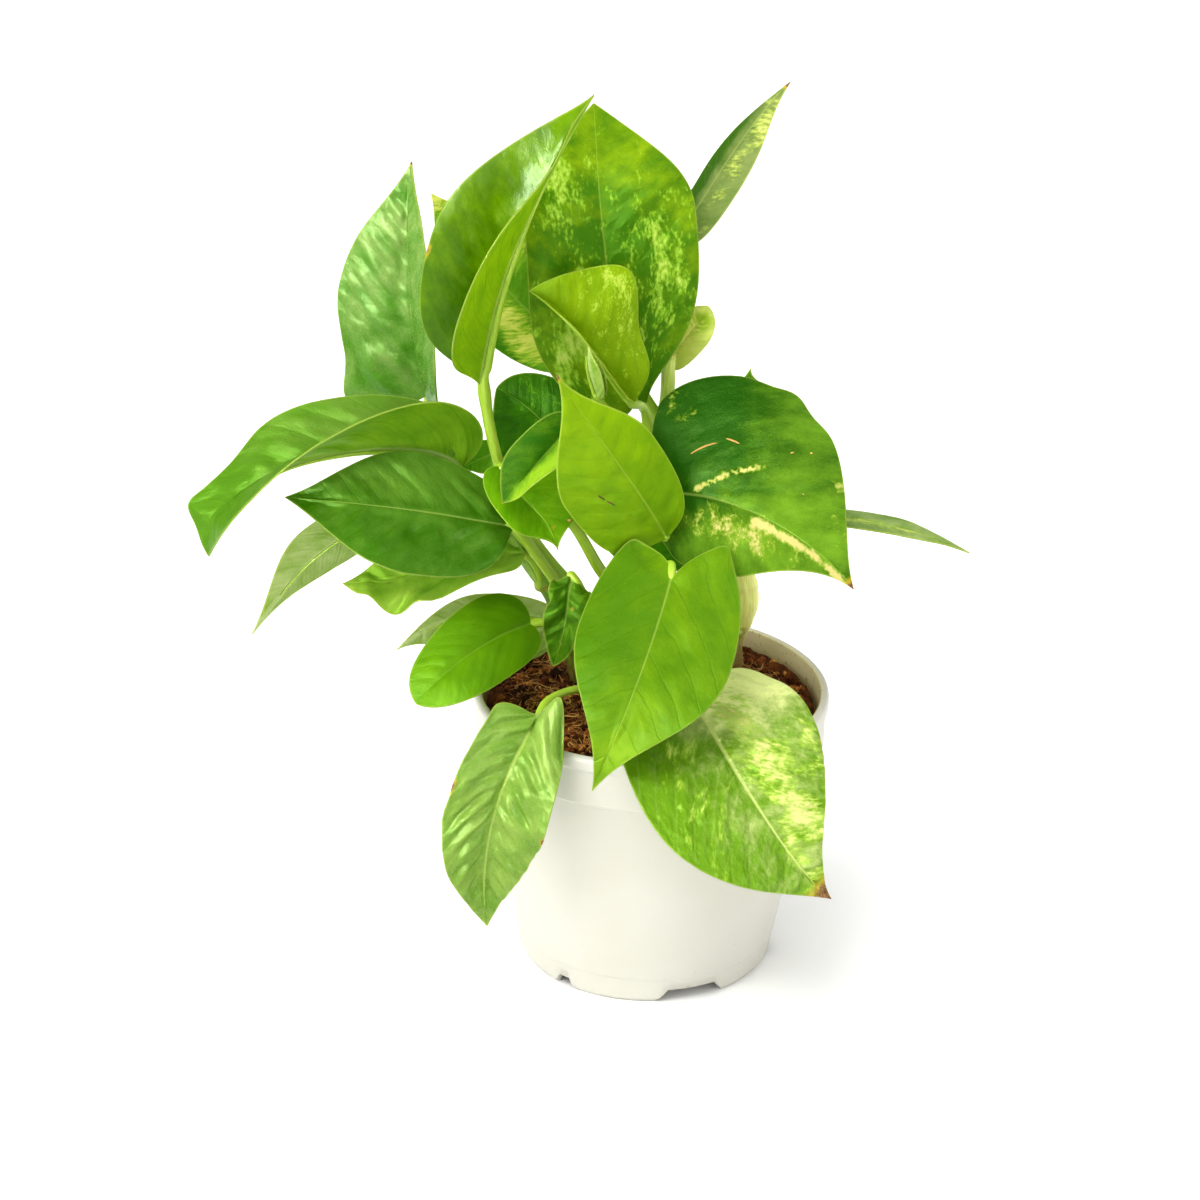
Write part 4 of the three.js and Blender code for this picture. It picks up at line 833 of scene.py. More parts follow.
def drawn_aside(middle, x, share, pushes):
    """Middle surface with each push added: shift times exp(-(dx / length)^2 - (dy / width)^2)."""
    for at, across, length, width, shift in pushes:
        weight = np.exp(-((x - at) / length) ** 2 - ((share - across) / width) ** 2)
        middle = middle + weight[..., None] * np.array(shift, dtype=float)
    return middle


def blade_relief(leaf, look, length, u, reach, x, s, share, vein):
    """Height of the upper side over the plain blade, in mm.

    It swells between the side veins as quilt sin(pi vein / spacing)^2, drifts slowly, and has a
    coarse crinkle (bend) and a fine one, drawn out along the side veins (pucker). It fades at the
    midrib and at both ends, by hem at the margin, and at the calm spots.
    """
    rng = np.random.default_rng(SEED + len(leaf["name"]) + int(length * 7))
    phase = rng.uniform(0, 2 * np.pi, 4)
    spacing = length / look["veins"]
    swell = np.sin(np.pi * vein / spacing) ** 2 * smooth(0.02, 0.3, reach) * smooth(1.0, 0.75, reach)
    swell *= 1 + 0.35 * np.sin(s / 3.1 + phase[0]) * np.sin(vein / 5.3 + phase[1])
    drift = np.sin(x * length / 6.1 + phase[2]) * np.sin(s / 7.3 + phase[3]) * reach
    bend = crinkle(x * length, s, BEND_SCALE, rng)
    pucker = crinkle(vein, s * PUCKER_SQUEEZE, PUCKER_SCALE, rng)
    fade = smooth(0, 0.12, u) * smooth(1, 0.85, u)
    fade *= smooth(0.0, 0.22, reach) * (1 - look["hem"] * smooth(0.6, 1.0, reach))
    fade *= np.clip(1 - spots(look["calm"], x, share), 0, 1)
    height = look["quilt"] * (swell - 0.4) + DRIFT_HEIGHT * drift
    height = height + look["bend"] * bend + look["pucker"] * pucker
    return height * fade


def leaf_shape(leaf, look):
    """Skin of one blade, with what the paint needs to know of each point.

    Each ring runs over the upper side from the left margin to the right and back underneath.
    Upper side = middle + normal (thickness / 2 + relief - groove), where the groove over the midrib
    is 0.4 rib exp(-(s / (1.5 rib))^2). The side veins are counted by along - slant (0.6 |s| +
    0.3 s s / half), which bends them towards the tip.
    """
    length = float(np.linalg.norm(np.subtract(leaf["rib"][3], leaf["rib"][0])))
    u, v = blade_grid(length)
    uu, vv = np.meshgrid(u, v, indexing="ij")
    reach = np.abs(vv)
    middle, x, s = blade_point(leaf, uu, vv)
    normal = blade_normal(leaf, uu, vv)
    half = np.array(leaf["half"], dtype=float)[(vv > 0).astype(int)]
    share = s / half
    middle = drawn_aside(middle, x, share, look["push"])
    vein = x * length - look["slant"] * (0.6 * np.abs(s) + 0.3 * s * s / half)
    relief = blade_relief(leaf, look, length, uu, reach, x, s, share, vein)
    rib = look["rib"]
    groove = 0.4 * rib * np.exp(-(s / (1.5 * rib)) ** 2) * smooth(1.0, 0.3, x) * smooth(0, 0.1, uu)
    upper = middle + normal * (BLADE / 2 + relief - groove)[..., None]
    lower = middle - normal * (BLADE / 2 - relief + 0.5 * groove)[..., None]
    rim = (upper + lower) / 2
    sideways = unit(np.cross(normal, np.gradient(middle, axis=0)))
    right_rim = rim[:, -1:] - sideways[:, -1:] * RIM_BULGE
    left_rim = rim[:, :1] + sideways[:, :1] * RIM_BULGE
    rings = np.concatenate([upper, right_rim, lower[:, ::-1], left_rim], axis=1)
    tips = np.stack([leaf["rib"][0], leaf["rib"][3]]).astype(float)
    under = np.zeros(rings.shape[1], dtype=int)
    under[len(v) + 1:-1] = 1
    fields = {
        "leafmap": np.stack([x * length, s, vein], axis=-1),
        "edge": np.minimum((1 - reach) * margin(uu, leaf)[1] * half, (1 - uu) * length),
        # The tone: the leaf's own lighter and darker greens, with the painted sheen and painted shade of
        # some leaves.
        "tone": spots(look["tone"], x, share, look["level"]),
        "cream": spots(look["cream"], x, share) + strokes(look["dash"], x, s, length, half),
        "scar": spots(look["scar"], x, share),
    }
    own = {}
    for key, values in fields.items():
        around = np.concatenate([values, values[:, -1:], values[:, ::-1], values[:, :1]], axis=1)
        own[key] = with_ends(around)
    return skin(rings, tips), np.tile(under, len(u) + 1), own, length, (u, v, upper, normal)


def stalk_shape(leaf, look):
    """Stalk of a leaf: a grooved rod from inside the vine to the blade, and on under its midrib.

    The radius falls from foot to top as in the solids, with a flare exp(-(l / 5)^2) at the vine and
    a knee under the blade, and tapers with (1 - x) on the way to the tip. Gives the skin, and each
    point's place for the paint.
    """
    x = np.array(KEEL_AT)
    under, along = rib_at(leaf["rib"], x)
    up = up_at(leaf, along, x)
    slim = leaf.get("slim", 1)
    foot, top = STALK_RADIUS
    top_radius = slim * top
    taper = top_radius * look["keel"] * (1 - x) ** 0.8 * 0.8 + 0.12
    under = under - up * (taper + 0.3)[:, None]
    joint = np.array(leaf["rib"][0], dtype=float) - up[0] * 0.75 * top_radius
    points = np.concatenate([np.array(leaf["stalk"], dtype=float), joint[None], under])
    path = route(points, STALK_STEPS)
    run = along_path(path)
    end = (len(points) - len(x) - 1) * STALK_STEPS
    k = np.clip(run / run[end], 0, 1)
    flare = 0.8 * slim * np.exp(-(run / 5) ** 2)
    knee = 0.22 * slim * np.exp(-((run - run[end] + 3) / 3.5) ** 2)
    free = slim * (foot + (top - foot) * np.minimum(1, 1.6 * k)) + flare
    tail = np.interp(run, np.concatenate([[run[end]], run[end + STALK_STEPS::STALK_STEPS]]),
                     np.concatenate([[top_radius], taper]))
    radius = np.where(run > run[end], tail, free) + knee
    rings, ends = rod(path, radius, STALK_SIDES, STALK_GROOVE, up[0])
    turn = np.arange(STALK_SIDES) / STALK_SIDES
    place = np.broadcast_arrays(run[:, None] - run[end], turn[None, :] * 8, k[:, None] * 40)
    return skin(rings, ends), with_ends(np.stack(place, axis=-1))


def grow_leaf(leaf, undersides, stalk_paint):
    """One leaf: its blade and its stalk in one mesh. Gives the blade's grid, for what lies on it."""
    look = {**PLAIN, **LOOKS[leaf["name"]]}
    blade_skin, marks, own, length, blade = leaf_shape(leaf, look)
    stalk_skin, place = stalk_shape(leaf, look)
    points, faces = joined(blade_skin, stalk_skin)
    marks = np.concatenate([marks, np.full(len(faces) - len(marks), 2)])
    plain = {"edge": 10.0, "tone": 0.5, "cream": 0.0, "scar": 0.0}
    own = {key: np.concatenate([values, place if key == "leafmap" else np.full(len(place), plain[key])])
           for key, values in own.items()}
    below = undersides[look["under"] or leaf["colour"]]
    finishes = [upper_finish(leaf["name"], look, length), below, stalk_paint]
    piece = make_piece(leaf["name"] + "_grown", points, faces, finishes, marks, own)
    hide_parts(leaf["name"])
    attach(piece, "root")
    return blade


def vein_grain(f, along, across, stretch):
    """Place that runs with the side veins, drawn out by the stretch, and apart in the two halves."""
    side = f.math("ABSOLUTE", across)
    over = f.math("SUBTRACT", along, f.times(side, VEIN_LEAN))
    out = f.math("MULTIPLY_ADD", along, VEIN_LEAN, side)
    return f.join(over, f.times(out, 1 / stretch), f.times(f.math("SIGN", across), 9.0))


def cream_marbling(f, look, colour, along, across):
    """Marbling: where coarse and fine noise and the cream spots add up, a glow and then flecks."""
    if look["streak"] == "veins":
        grid = vein_grain(f, along, across, look["stretch"])
    else:
        grid = f.join(across, f.times(along, 1 / look["stretch"]))
    coarse = f.noise(grid, scale=0.2 / look["fleck"])
    fine = f.noise(grid, scale=0.9 / look["fleck"], detail=4.0, rough=0.6)
    amount = f.math("MULTIPLY_ADD", coarse, 1.1, f.times(fine, 1.1))
    amount = f.plus(f.math("SUBTRACT", f.own("cream"), 1.6), amount)
    glow, yellow = paint(look["glow"]), paint(look["yellow"])
    colour = f.blend(f.times(f.ramp(amount, -0.20, 0.02), 0.6), colour, glow)
    fleck = f.blend(f.ramp(amount, 0.05, 0.3, 0.35, 1.0), glow, yellow)
    return f.blend(f.ramp(amount, FLECK_EDGE - look["soft"], FLECK_EDGE + look["soft"]), colour, fleck)


def dry_scars(f, colour, fine):
    """Scars: a yellow fringe, and inside its ragged edge dead tissue from brown to tan."""
    scar = f.own("scar")
    colour = f.blend(f.ramp(scar, 0.12, 0.42, 0.0, 0.75), colour, SCAR_YELLOW)
    dead = f.blend(f.ramp(fine, 0.35, 0.65), SCAR_BROWN, SCAR_TAN)
    return f.blend(f.ramp(f.vary(scar, fine, 0.9), 0.45, 0.62), colour, dead)


def upper_finish(name, look, length):
    """Upper side of a leaf: two greens, on some leaves with spots of painted sheen and shade, side veins,
    marbling, a pale midrib, specks of dust and painted glints, margin and scars.
    """
    f = Finish(name + "_upper")
    dark, light = paint(look["dark"]), paint(look["light"])
    pale = mixed(0.45, light, RIB_PALE)
    spacing = length / look["veins"]
    place = f.own("leafmap", "Vector")
    along, across, vein = f.split(place)
    cloud = f.noise(place, scale=0.11, detail=3.0, rough=0.55)
    fine = f.noise(place, scale=1.3, detail=3.0, rough=0.6)
    cells = f.noise(vein_grain(f, along, across, look["cell"][1]), look["cell"][0], detail=1.6, rough=0.45)
    # The tone: the blade's own greens, and on some leaves spots of painted sheen and painted shade.
    tone = f.vary(f.vary(f.vary(f.own("tone"), cloud, 0.9), fine, 0.3), cells, look["mottle"])
    colour = f.blend(f.ramp(tone, 0.1, 0.95), dark, light)
    vein = f.vary(vein, cloud, VEIN_WANDER)
    line = f.fall(f.math("PINGPONG", vein, spacing / 2), 0.1, 0.7)
    minor = f.fall(f.math("PINGPONG", vein, spacing / 8), 0.04, 0.3, 0.12)
    veins = f.times(f.math("MAXIMUM", line, minor), abs(look["vein"]))
    colour = f.blend(veins, colour, pale if look["vein"] > 0 else dark)
    if look["cream"]:
        colour = cream_marbling(f, look, colour, along, across)
    width = f.ramp(along, 0.0, length, look["rib"], 0.3 * look["rib"])
    rib = f.fall(f.math("DIVIDE", f.math("ABSOLUTE", across), width), 0.5, 1.2)
    colour = f.blend(f.times(rib, look["ribtone"]), colour, pale)
    # Fine pale specks, partly dust and partly painted glints of light.
    dust_and_glint = f.ramp(f.noise(place, scale=3.4, detail=1.0, rough=0.4), 0.69, 0.77, 0.0, look["dust_and_glint"])
    colour = f.blend(dust_and_glint, colour, DUST_AND_GLINT_PALE)
    colour = f.blend(f.fall(f.own("edge"), 0.06, 0.32, 0.42), colour, MARGIN_PALE)
    if look["scar"]:
        colour = dry_scars(f, colour, fine)
    height = f.plus(f.times(f.noise(place, scale=2.6), 0.35), f.times(cells, look["emboss"]))
    crease = f.math("MAXIMUM", f.times(line, look["crest"]), f.times(rib, 0.3))
    height = f.math("SUBTRACT", height, crease)
    gloss = f.ramp(fine, 0.2, 0.8, look["rough"] - 0.06, look["rough"] + 0.08)
    return leaf_surface(f, colour, gloss, f.bump(height, 0.55, LEAF_BUMP), look["sheen"])


def leaf_surface(f, colour, gloss, bump, sheen):
    """Green skin with a waxy shine, white where sheen is 1, that lets a share of the light through."""
    shine = {"Normal": bump, "Specular IOR Level": 0.3, "Specular Tint": (0.5 + 0.5 * sheen, 1.0, sheen, 1)}
    through = f.blend(1.0, colour, THROUGH_TINT, "MULTIPLY")
    glow = f.node("BsdfTranslucent", {"Color": through, "Normal": bump})
    return f.close(f.node("MixShader", {0: LIGHT_THROUGH, 1: f.body(colour, gloss, shine), 2: glow}))


def under_finish(name, dark, light):
    """Underside of a leaf: paler and duller, with darker side veins."""
    f = Finish(name)
    dark, light = paint(dark), paint(light)
    place = f.own("leafmap", "Vector")
    _, across, vein = f.split(place)
    cloud = f.noise(place, scale=0.14, detail=3.0, rough=0.55)
    fine = f.noise(place, scale=1.6, detail=3.0, rough=0.6)
    tone = f.plus(f.times(cloud, 0.7), f.times(fine, 0.3))
    colour = f.blend(f.ramp(tone, 0.3, 0.7), dark, light)
    line = f.fall(f.math("PINGPONG", vein, UNDER_VEIN_GAP), 0.15, 0.8)
    minor = f.fall(f.math("PINGPONG", vein, UNDER_VEIN_GAP / 4), 0.05, 0.35, 0.4)
    veins = f.math("MAXIMUM", line, minor)
    colour = f.blend(f.times(veins, 0.35), colour, dark)
    rib = f.fall(f.math("ABSOLUTE", across), 0.4, 1.3)
    colour = f.blend(f.times(rib, 0.6), colour, mixed(0.5, light, UNDER_RIB_PALE))
    colour = f.blend(f.fall(f.own("edge"), 0.06, 0.34, 0.5), colour, UNDER_MARGIN_PALE)
    height = f.plus(f.times(fine, 0.4), f.times(veins, 0.6))
    gloss = f.ramp(fine, 0.2, 0.8, 0.46, 0.58)
    return leaf_surface(f, colour, gloss, f.bump(height, 0.5, LEAF_BUMP), UNDER_SHEEN)


def stalk_finish():
    """Stalk: smooth pale yellow-green, faintly streaked lengthwise, browner where it leaves the vine."""
    f = Finish("leaf_stalk")
    place = f.own("leafmap", "Vector")
    along, around, share = f.split(place)
    streak = f.noise(f.join(f.times(along, 0.06), around), scale=1.4, detail=4.0, rough=0.6)
    colour = f.blend(f.ramp(streak, 0.3, 0.7), paint("8aae24"), paint("aac242"))
    colour = f.blend(f.fall(share, 0.0, 5.0, 0.55), colour, paint("7d7a34"))
    fleck = f.ramp(f.noise(place, scale=2.2), 0.68, 0.74)
    colour = f.blend(f.times(fleck, 0.35), colour, paint("7a5a28"))
    flesh = {"Normal": f.bump(streak, 0.3, 0.0003), "Subsurface Weight": 0.1,
             "Subsurface Radius": (0.002, 0.003, 0.001)}
    return f.close(f.body(colour, f.ramp(streak, 0.2, 0.8, 0.36, 0.48), flesh))


def vine_finish(name, dark, light, foot, rings):
    """Stem: green skin with lengthwise ridges, brown at its foot and round each joint."""
    f = Finish(name)
    place = f.own("vinemap", "Vector")
    along, around, height = f.split(place)
    ridge = f.noise(f.join(f.times(along, 0.08), around), scale=1.5, detail=4.0, rough=0.6)
    mottle = f.noise(place, scale=0.7, detail=3.0, rough=0.6)
    colour = f.blend(f.ramp(ridge, 0.3, 0.7), paint(dark), paint(light))
    low = f.fall(f.plus(height, f.times(mottle, 16.0)), *VINE_BROWN_Z, 0.8)
    colour = f.blend(low, colour, paint(foot))
    ring = f.times(f.ramp(f.plus(f.own("joint"), f.times(mottle, 0.4)), 0.7, 1.0), rings)
    colour = f.blend(ring, colour, paint("8a6a34"))
    bump = f.bump(f.plus(ridge, f.times(mottle, 0.4)), 0.5, 0.0005)
    return f.close(f.body(colour, f.ramp(mottle, 0.2, 0.8, 0.42, 0.62), {"Normal": bump}))


def grow_vine(spec, finish):
    """Stem: a rod whose radius grows by 0.28 cos^6 at each joint.

    A narrow groove round the middle of each ring, low nubs of roots and fine lengthwise ridges come
    on top of the solid's form.
    """
    path = route(spec["route"], VINE_STEPS)
    k = np.linspace(0, 1, len(path))
    foot, top = spec["radius"]
    phase = np.cos(2 * np.pi * spec["joints"] * k)
    beat = np.maximum(0, phase)
    ring = beat ** 6
    radius = foot + (top - foot) * k + 0.28 * ring
    for height, length, thick in spec.get("swell", []):
        radius = radius + thick * np.exp(-((path[:, 2] - height) / length) ** 2)
    rings, ends = rod(path, radius, VINE_SIDES, 0.05)
    turn = turns(VINE_SIDES)
    nub = np.maximum(0, np.sin(3 * turn[None, :] + 9 * k[:, None])) ** 4 * beat[:, None] ** 24
    lift = 0.05 * np.sin(9 * turn)[None, :] - 0.16 * beat[:, None] ** 60 + 0.35 * nub
    rings = rings + unit(rings - path[:, None]) * lift[..., None]
    points, faces = joined(skin(rings, ends))
    place = np.broadcast_arrays(along_path(path)[:, None], turn[None, :] * 3, path[:, 2:3])
    own = {"vinemap": with_ends(np.stack(place, axis=-1)),
           "joint": with_ends(np.broadcast_to(ring[:, None], rings.shape[:2]))}
    piece = make_piece(spec["name"] + "_grown", points, faces, [finish], None, own)
    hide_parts(spec["name"])
    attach(piece, "root")


def rounded(profile, fillet, steps):
    """Profile with its corners rounded: a quadratic curve between two points near each corner."""
    p = np.array(profile, dtype=float)
    before, corner, after = p[:-2], p[1:-1], p[2:]
    back, on = np.linalg.norm(before - corner, axis=1), np.linalg.norm(after - corner, axis=1)
    reach = np.minimum(fillet, 0.42 * np.minimum(back, on))[:, None]
    a = corner + (before - corner) / back[:, None] * reach
    b = corner + (after - corner) / on[:, None] * reach
    t = np.linspace(0, 1, steps)[None, :, None]
    arcs = a[:, None] * (1 - t) ** 2 + corner[:, None] * 2 * t * (1 - t) + b[:, None] * t ** 2
    return np.concatenate([p[:1], arcs.reshape(-1, 2), p[-1:]])


def filled(profile, gap):
    """Profile with its long stretches filled: points near both ends, and more in between."""
    near = 0.35
    out = [profile[:1]]
    for a, b in zip(profile[:-1], profile[1:]):
        length = float(np.linalg.norm(b - a))
        if length > gap:
            inside = np.linspace(0, 1, int(length / gap) + 2)[1:-1]
            share = np.concatenate([[near / length], inside, [1 - near / length], [1]])
            out.append(a + (b - a) * share[:, None])
        else:
            out.append(b[None])
    return np.concatenate(out)


def notch_height(angle):
    """Height of the foot ring's cut-outs at an angle: three wide trapezia and three narrow ones.

    height(t) = clip((width / 2 - t) (height + 1) / (width / 2 - top / 2) - 1, 0, height), where t is
    the distance from the notch's middle along the ring.
    """
    total = np.zeros_like(angle)
    for notch in (WIDE_NOTCH, NARROW_NOTCH):
        for i in range(3):
            middle = math.radians(notch["angle"] + 120 * i - 90)
            t = np.abs((angle - middle + np.pi) % (2 * np.pi) - np.pi) * FOOT_RADIUS
            slope = (notch["height"] + 1) / (notch["width"] / 2 - notch["top"] / 2)
            rise = (notch["width"] / 2 - t) * slope - 1
            total = np.maximum(total, np.clip(rise, 0, notch["height"]))
    return total


def make_pot():
    """Pot: the solid's profile with rounded corners, turned about Z, its foot cut by the notches."""
    profile = [
        [0, 0], [BOSS_RADIUS, 0], [BOSS_RADIUS + 0.5, BASE_Z], [FOOT_RADIUS - WALL - 0.6, BASE_Z],
        [FOOT_RADIUS - WALL - 0.9, 0], [FOOT_RADIUS - 1.2, 0], [FOOT_RADIUS, 1.4],
        [BAND_RADIUS, BAND_Z - 0.4], [BAND_RADIUS + 0.5, BAND_Z], [BODY_TOP_RADIUS, COLLAR_Z - 0.5],
        [COLLAR_RADIUS, COLLAR_Z], [COLLAR_RADIUS + 0.1, POT_HEIGHT - LIP_HEIGHT - 0.6],
        [LIP_RADIUS, POT_HEIGHT - LIP_HEIGHT], [LIP_RADIUS, POT_HEIGHT - 1.2],
        [RIM_RADIUS + 0.4, POT_HEIGHT - 0.3], [RIM_RADIUS - 0.6, POT_HEIGHT],
        [LIP_RADIUS - 2.5, POT_HEIGHT - 0.4], [COLLAR_RADIUS - WALL - 0.4, POT_HEIGHT - 3],
        [COLLAR_RADIUS - WALL - 0.5, COLLAR_Z], [INSIDE_TOP_RADIUS, INSIDE_TOP_Z],
        [BAND_RADIUS + 0.6 - WALL, BAND_Z + 0.8], [INSIDE_LOW_RADIUS, INSIDE_LOW_Z],
        [0, INSIDE_LOW_Z],
    ]
    line = filled(rounded(profile, POT_FILLET, 5), 6.0)[1:-1]
    angle = turns(POT_SIDES)
    r, z = line[:, :1] + 0 * angle, line[:, 1:] + 0 * angle
    ring_wall = (line[:, :1] > FOOT_RADIUS - WALL - 1.1) & (z < BAND_Z)
    z = np.where(ring_wall, np.maximum(z, notch_height(angle)[None, :] + 0.02 * z), z)
    rings = np.stack([r * np.cos(angle), r * np.sin(angle), z], axis=-1)
    ends = np.array([[0, 0, 0], [0, 0, INSIDE_LOW_Z]], dtype=float)
    points, faces = joined(skin(rings, ends))
    piece = make_piece("pot_moulded", points, faces, [pot_finish()])
    for turn in turns(DRAIN_COUNT):
        x, y = DRAIN_RING * math.cos(turn), DRAIN_RING * math.sin(turn)
        drain = np.array([[x, y, BASE_Z - 1], [x, y, INSIDE_LOW_Z + 1]])
        cut_away(piece, rod(drain, np.full(2, DRAIN_RADIUS), 40))
    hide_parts("pot")
    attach(piece, "root")


def cut_away(piece, rod_shape):
    """Take a rod, given as rings and ends, out of a piece for good."""
    cutter = make_piece("cutter", *joined(skin(*rod_shape)), [])
    cut = piece.modifiers.new("cut", "BOOLEAN")
    cut.operation = "DIFFERENCE"
    cut.solver = "EXACT"
    cut.object = cutter
    whole = bpy.data.meshes.new_from_object(piece.evaluated_get(bpy.context.evaluated_depsgraph_get()))
    piece.modifiers.clear()
    piece.data = whole
    bpy.data.objects.remove(cutter)


def pot_finish():
    """White moulded plastic: warm, faintly uneven, with specks of soil; inside the rim a painted warm
    bounce light, lighter and yellower, and stains.
    """
    f = Finish("pot_plastic")
    place = f.object_place()
    x, y, z = f.split(place)
    cloud = f.noise(place, scale=22.0, detail=3.0)
    fine = f.noise(place, scale=420.0, detail=3.0, rough=0.55)
    colour = f.blend(f.ramp(cloud, 0.3, 0.7), paint("c4c1b5"), paint("c9c7bd"))
    radius = f.math("POWER", f.plus(f.math("POWER", x, 2.0), f.math("POWER", y, 2.0)), 0.5)
    # Inside the rim: a painted warm bounce light, lighter and yellower than the plastic.
    inside = f.times(f.fall(radius, *INSIDE_PAINT_RADIUS), f.ramp(z, *INSIDE_PAINT_Z))
    colour = f.blend(inside, colour, paint("dcd2ae"))
    stain = f.ramp(f.noise(place, scale=620.0, detail=4.0, rough=0.65), 0.60, 0.66)
    colour = f.blend(f.times(f.times(stain, inside), 0.6), colour, paint("8d6038"))
    speck = f.ramp(f.noise(place, scale=520.0, detail=1.0, rough=0.4), 0.74, 0.80)
    patch = f.ramp(f.noise(place, scale=36.0), 0.5, 0.66)
    colour = f.blend(f.times(f.times(speck, patch), 0.5), colour, paint("8d7048"))
    plastic = {"Normal": f.bump(f.plus(f.times(fine, 0.25), cloud), 0.12, 0.0004), "IOR": 1.49,
               "Subsurface Weight": 0.15, "Subsurface Radius": (0.004, 0.0035, 0.002),
               "Subsurface Scale": 1.0}
    return f.close(f.body(colour, f.ramp(cloud, 0.3, 0.7, 0.40, 0.50), plastic))


def soil_height(x, y):
    """Height of the growing medium: a low dome and three crossing waves, as in the solid."""
    r = np.hypot(x, y) / SOIL_RADIUS
    lumps = (np.sin(0.31 * x + 1.1) * np.cos(0.27 * y - 0.4)
             + 0.6 * np.sin(0.63 * x - 0.52 * y + 2.0) + 0.4 * np.cos(0.9 * y + 0.41 * x))
    return SOIL_TOP + SOIL_DOME * (1 - r * r) + 0.5 * SOIL_LUMP * lumps


def make_soil():
    """Coco peat: a dome of crumbly heights on rings, closed down the pot's inside."""
    rng = np.random.default_rng(SEED)
    share = np.linspace(0.008, 1, SOIL_RINGS)
    angle = turns(SOIL_SIDES)
    x = SOIL_RADIUS * share[:, None] * np.cos(angle)
    y = SOIL_RADIUS * share[:, None] * np.sin(angle)
    rough = 2.2 * lattice_noise(x, y, 3.1, rng) + 1.3 * lattice_noise(x, y, 1.3, rng)
    rough += 0.8 * lattice_noise(x + 3, y - 5, 0.7, rng)
    z = soil_height(x, y) + rough * smooth(1.0, 0.97, share)[:, None]
    top = np.stack([x, y, z], axis=-1)[::-1]
    foot_z = INSIDE_LOW_Z + 0.3
    wall_z = np.array([foot_z, 24, 42, 56, 70])
    way_up = np.minimum((wall_z - INSIDE_LOW_Z) / (INSIDE_TOP_Z - INSIDE_LOW_Z), 1)
    wall_r = INSIDE_LOW_RADIUS + (INSIDE_TOP_RADIUS - INSIDE_LOW_RADIUS) * way_up - SOIL_GAP
    wall = np.stack([wall_r[:, None] * np.cos(angle), wall_r[:, None] * np.sin(angle),
                     wall_z[:, None] + 0 * angle], axis=-1)
    ends = np.array([[0, 0, foot_z], [0, 0, float(top[-1, :, 2].mean())]])
    points, faces = joined(skin(np.concatenate([wall, top]), ends))
    own = {"grain": np.full(len(points), 0.3)}
    piece = make_piece("soil_peat", points, faces, [soil_finish()], own=own)
    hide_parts("soil")
    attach(piece, "root")


def clear_of_vines(x, y, gap):
    """True where a place on the soil is at least gap from every vine's foot."""
    feet = np.array([spec["route"][1][:2] for spec in VINES], dtype=float)
    return np.all(np.hypot(x[:, None] - feet[:, 0], y[:, None] - feet[:, 1]) > gap, axis=1)


def scatter(rng, count, gap, radius):
    """Even random places in a disc: radius sqrt(a), angle 2 pi b, clear of the vines."""
    r = radius * np.sqrt(rng.random(count))
    a = 2 * np.pi * rng.random(count)
    x, y = r * np.cos(a), r * np.sin(a)
    keep = clear_of_vines(x, y, gap)
    return x[keep], y[keep]


def make_crumbs():
    """Crumbs of peat: twelve-cornered lumps, each stretched and turned its own way, partly sunk."""
    rng = np.random.default_rng(SEED + 1)
    x, y = scatter(rng, CRUMB_COUNT, CRUMB_CLEARANCE, SOIL_RADIUS - 2.0)
    count = len(x)
    gold = (1 + 5 ** 0.5) / 2
    corners = np.array([[-1, gold, 0], [1, gold, 0], [-1, -gold, 0], [1, -gold, 0],
                        [0, -1, gold], [0, 1, gold], [0, -1, -gold], [0, 1, -gold],
                        [gold, 0, -1], [gold, 0, 1], [-gold, 0, -1], [-gold, 0, 1]])
    faces = np.array([[0, 11, 5], [0, 5, 1], [0, 1, 7], [0, 7, 10], [0, 10, 11], [1, 5, 9], [5, 11, 4],
                      [11, 10, 2], [10, 7, 6], [7, 1, 8], [3, 9, 4], [3, 4, 2], [3, 2, 6], [3, 6, 8],
                      [3, 8, 9], [4, 9, 5], [2, 4, 11], [6, 2, 10], [8, 6, 7], [9, 8, 1]])
    size = CRUMB_SIZE[0] + CRUMB_SIZE[1] * rng.random(count) ** 2.4
    shape = unit(corners)[None] * (1 + 0.35 * (rng.random((count, 12, 1)) - 0.5))
    shape = shape * (size[:, None] * (0.7 + 0.8 * rng.random((count, 3))))[:, None]
    turn = np.linalg.qr(rng.normal(size=(count, 3, 3)))[0]
    turn *= np.sign(np.linalg.det(turn))[:, None, None]
    shape = np.einsum("nij,nkj->nki", turn, shape)
    centre = np.stack([x, y, soil_height(x, y) + 0.35 * size], axis=-1)
    points = (shape + centre[:, None]).reshape(-1, 3)
    every = (faces[None] + 12 * np.arange(count)[:, None, None]).reshape(-1, 3)
    tint = np.repeat(rng.random(count), 12)
    piece = make_piece("soil_crumbs", points, every.tolist(), [soil_finish()],
                       own={"grain": tint}, smooth_faces=False)
    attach(piece, "root")


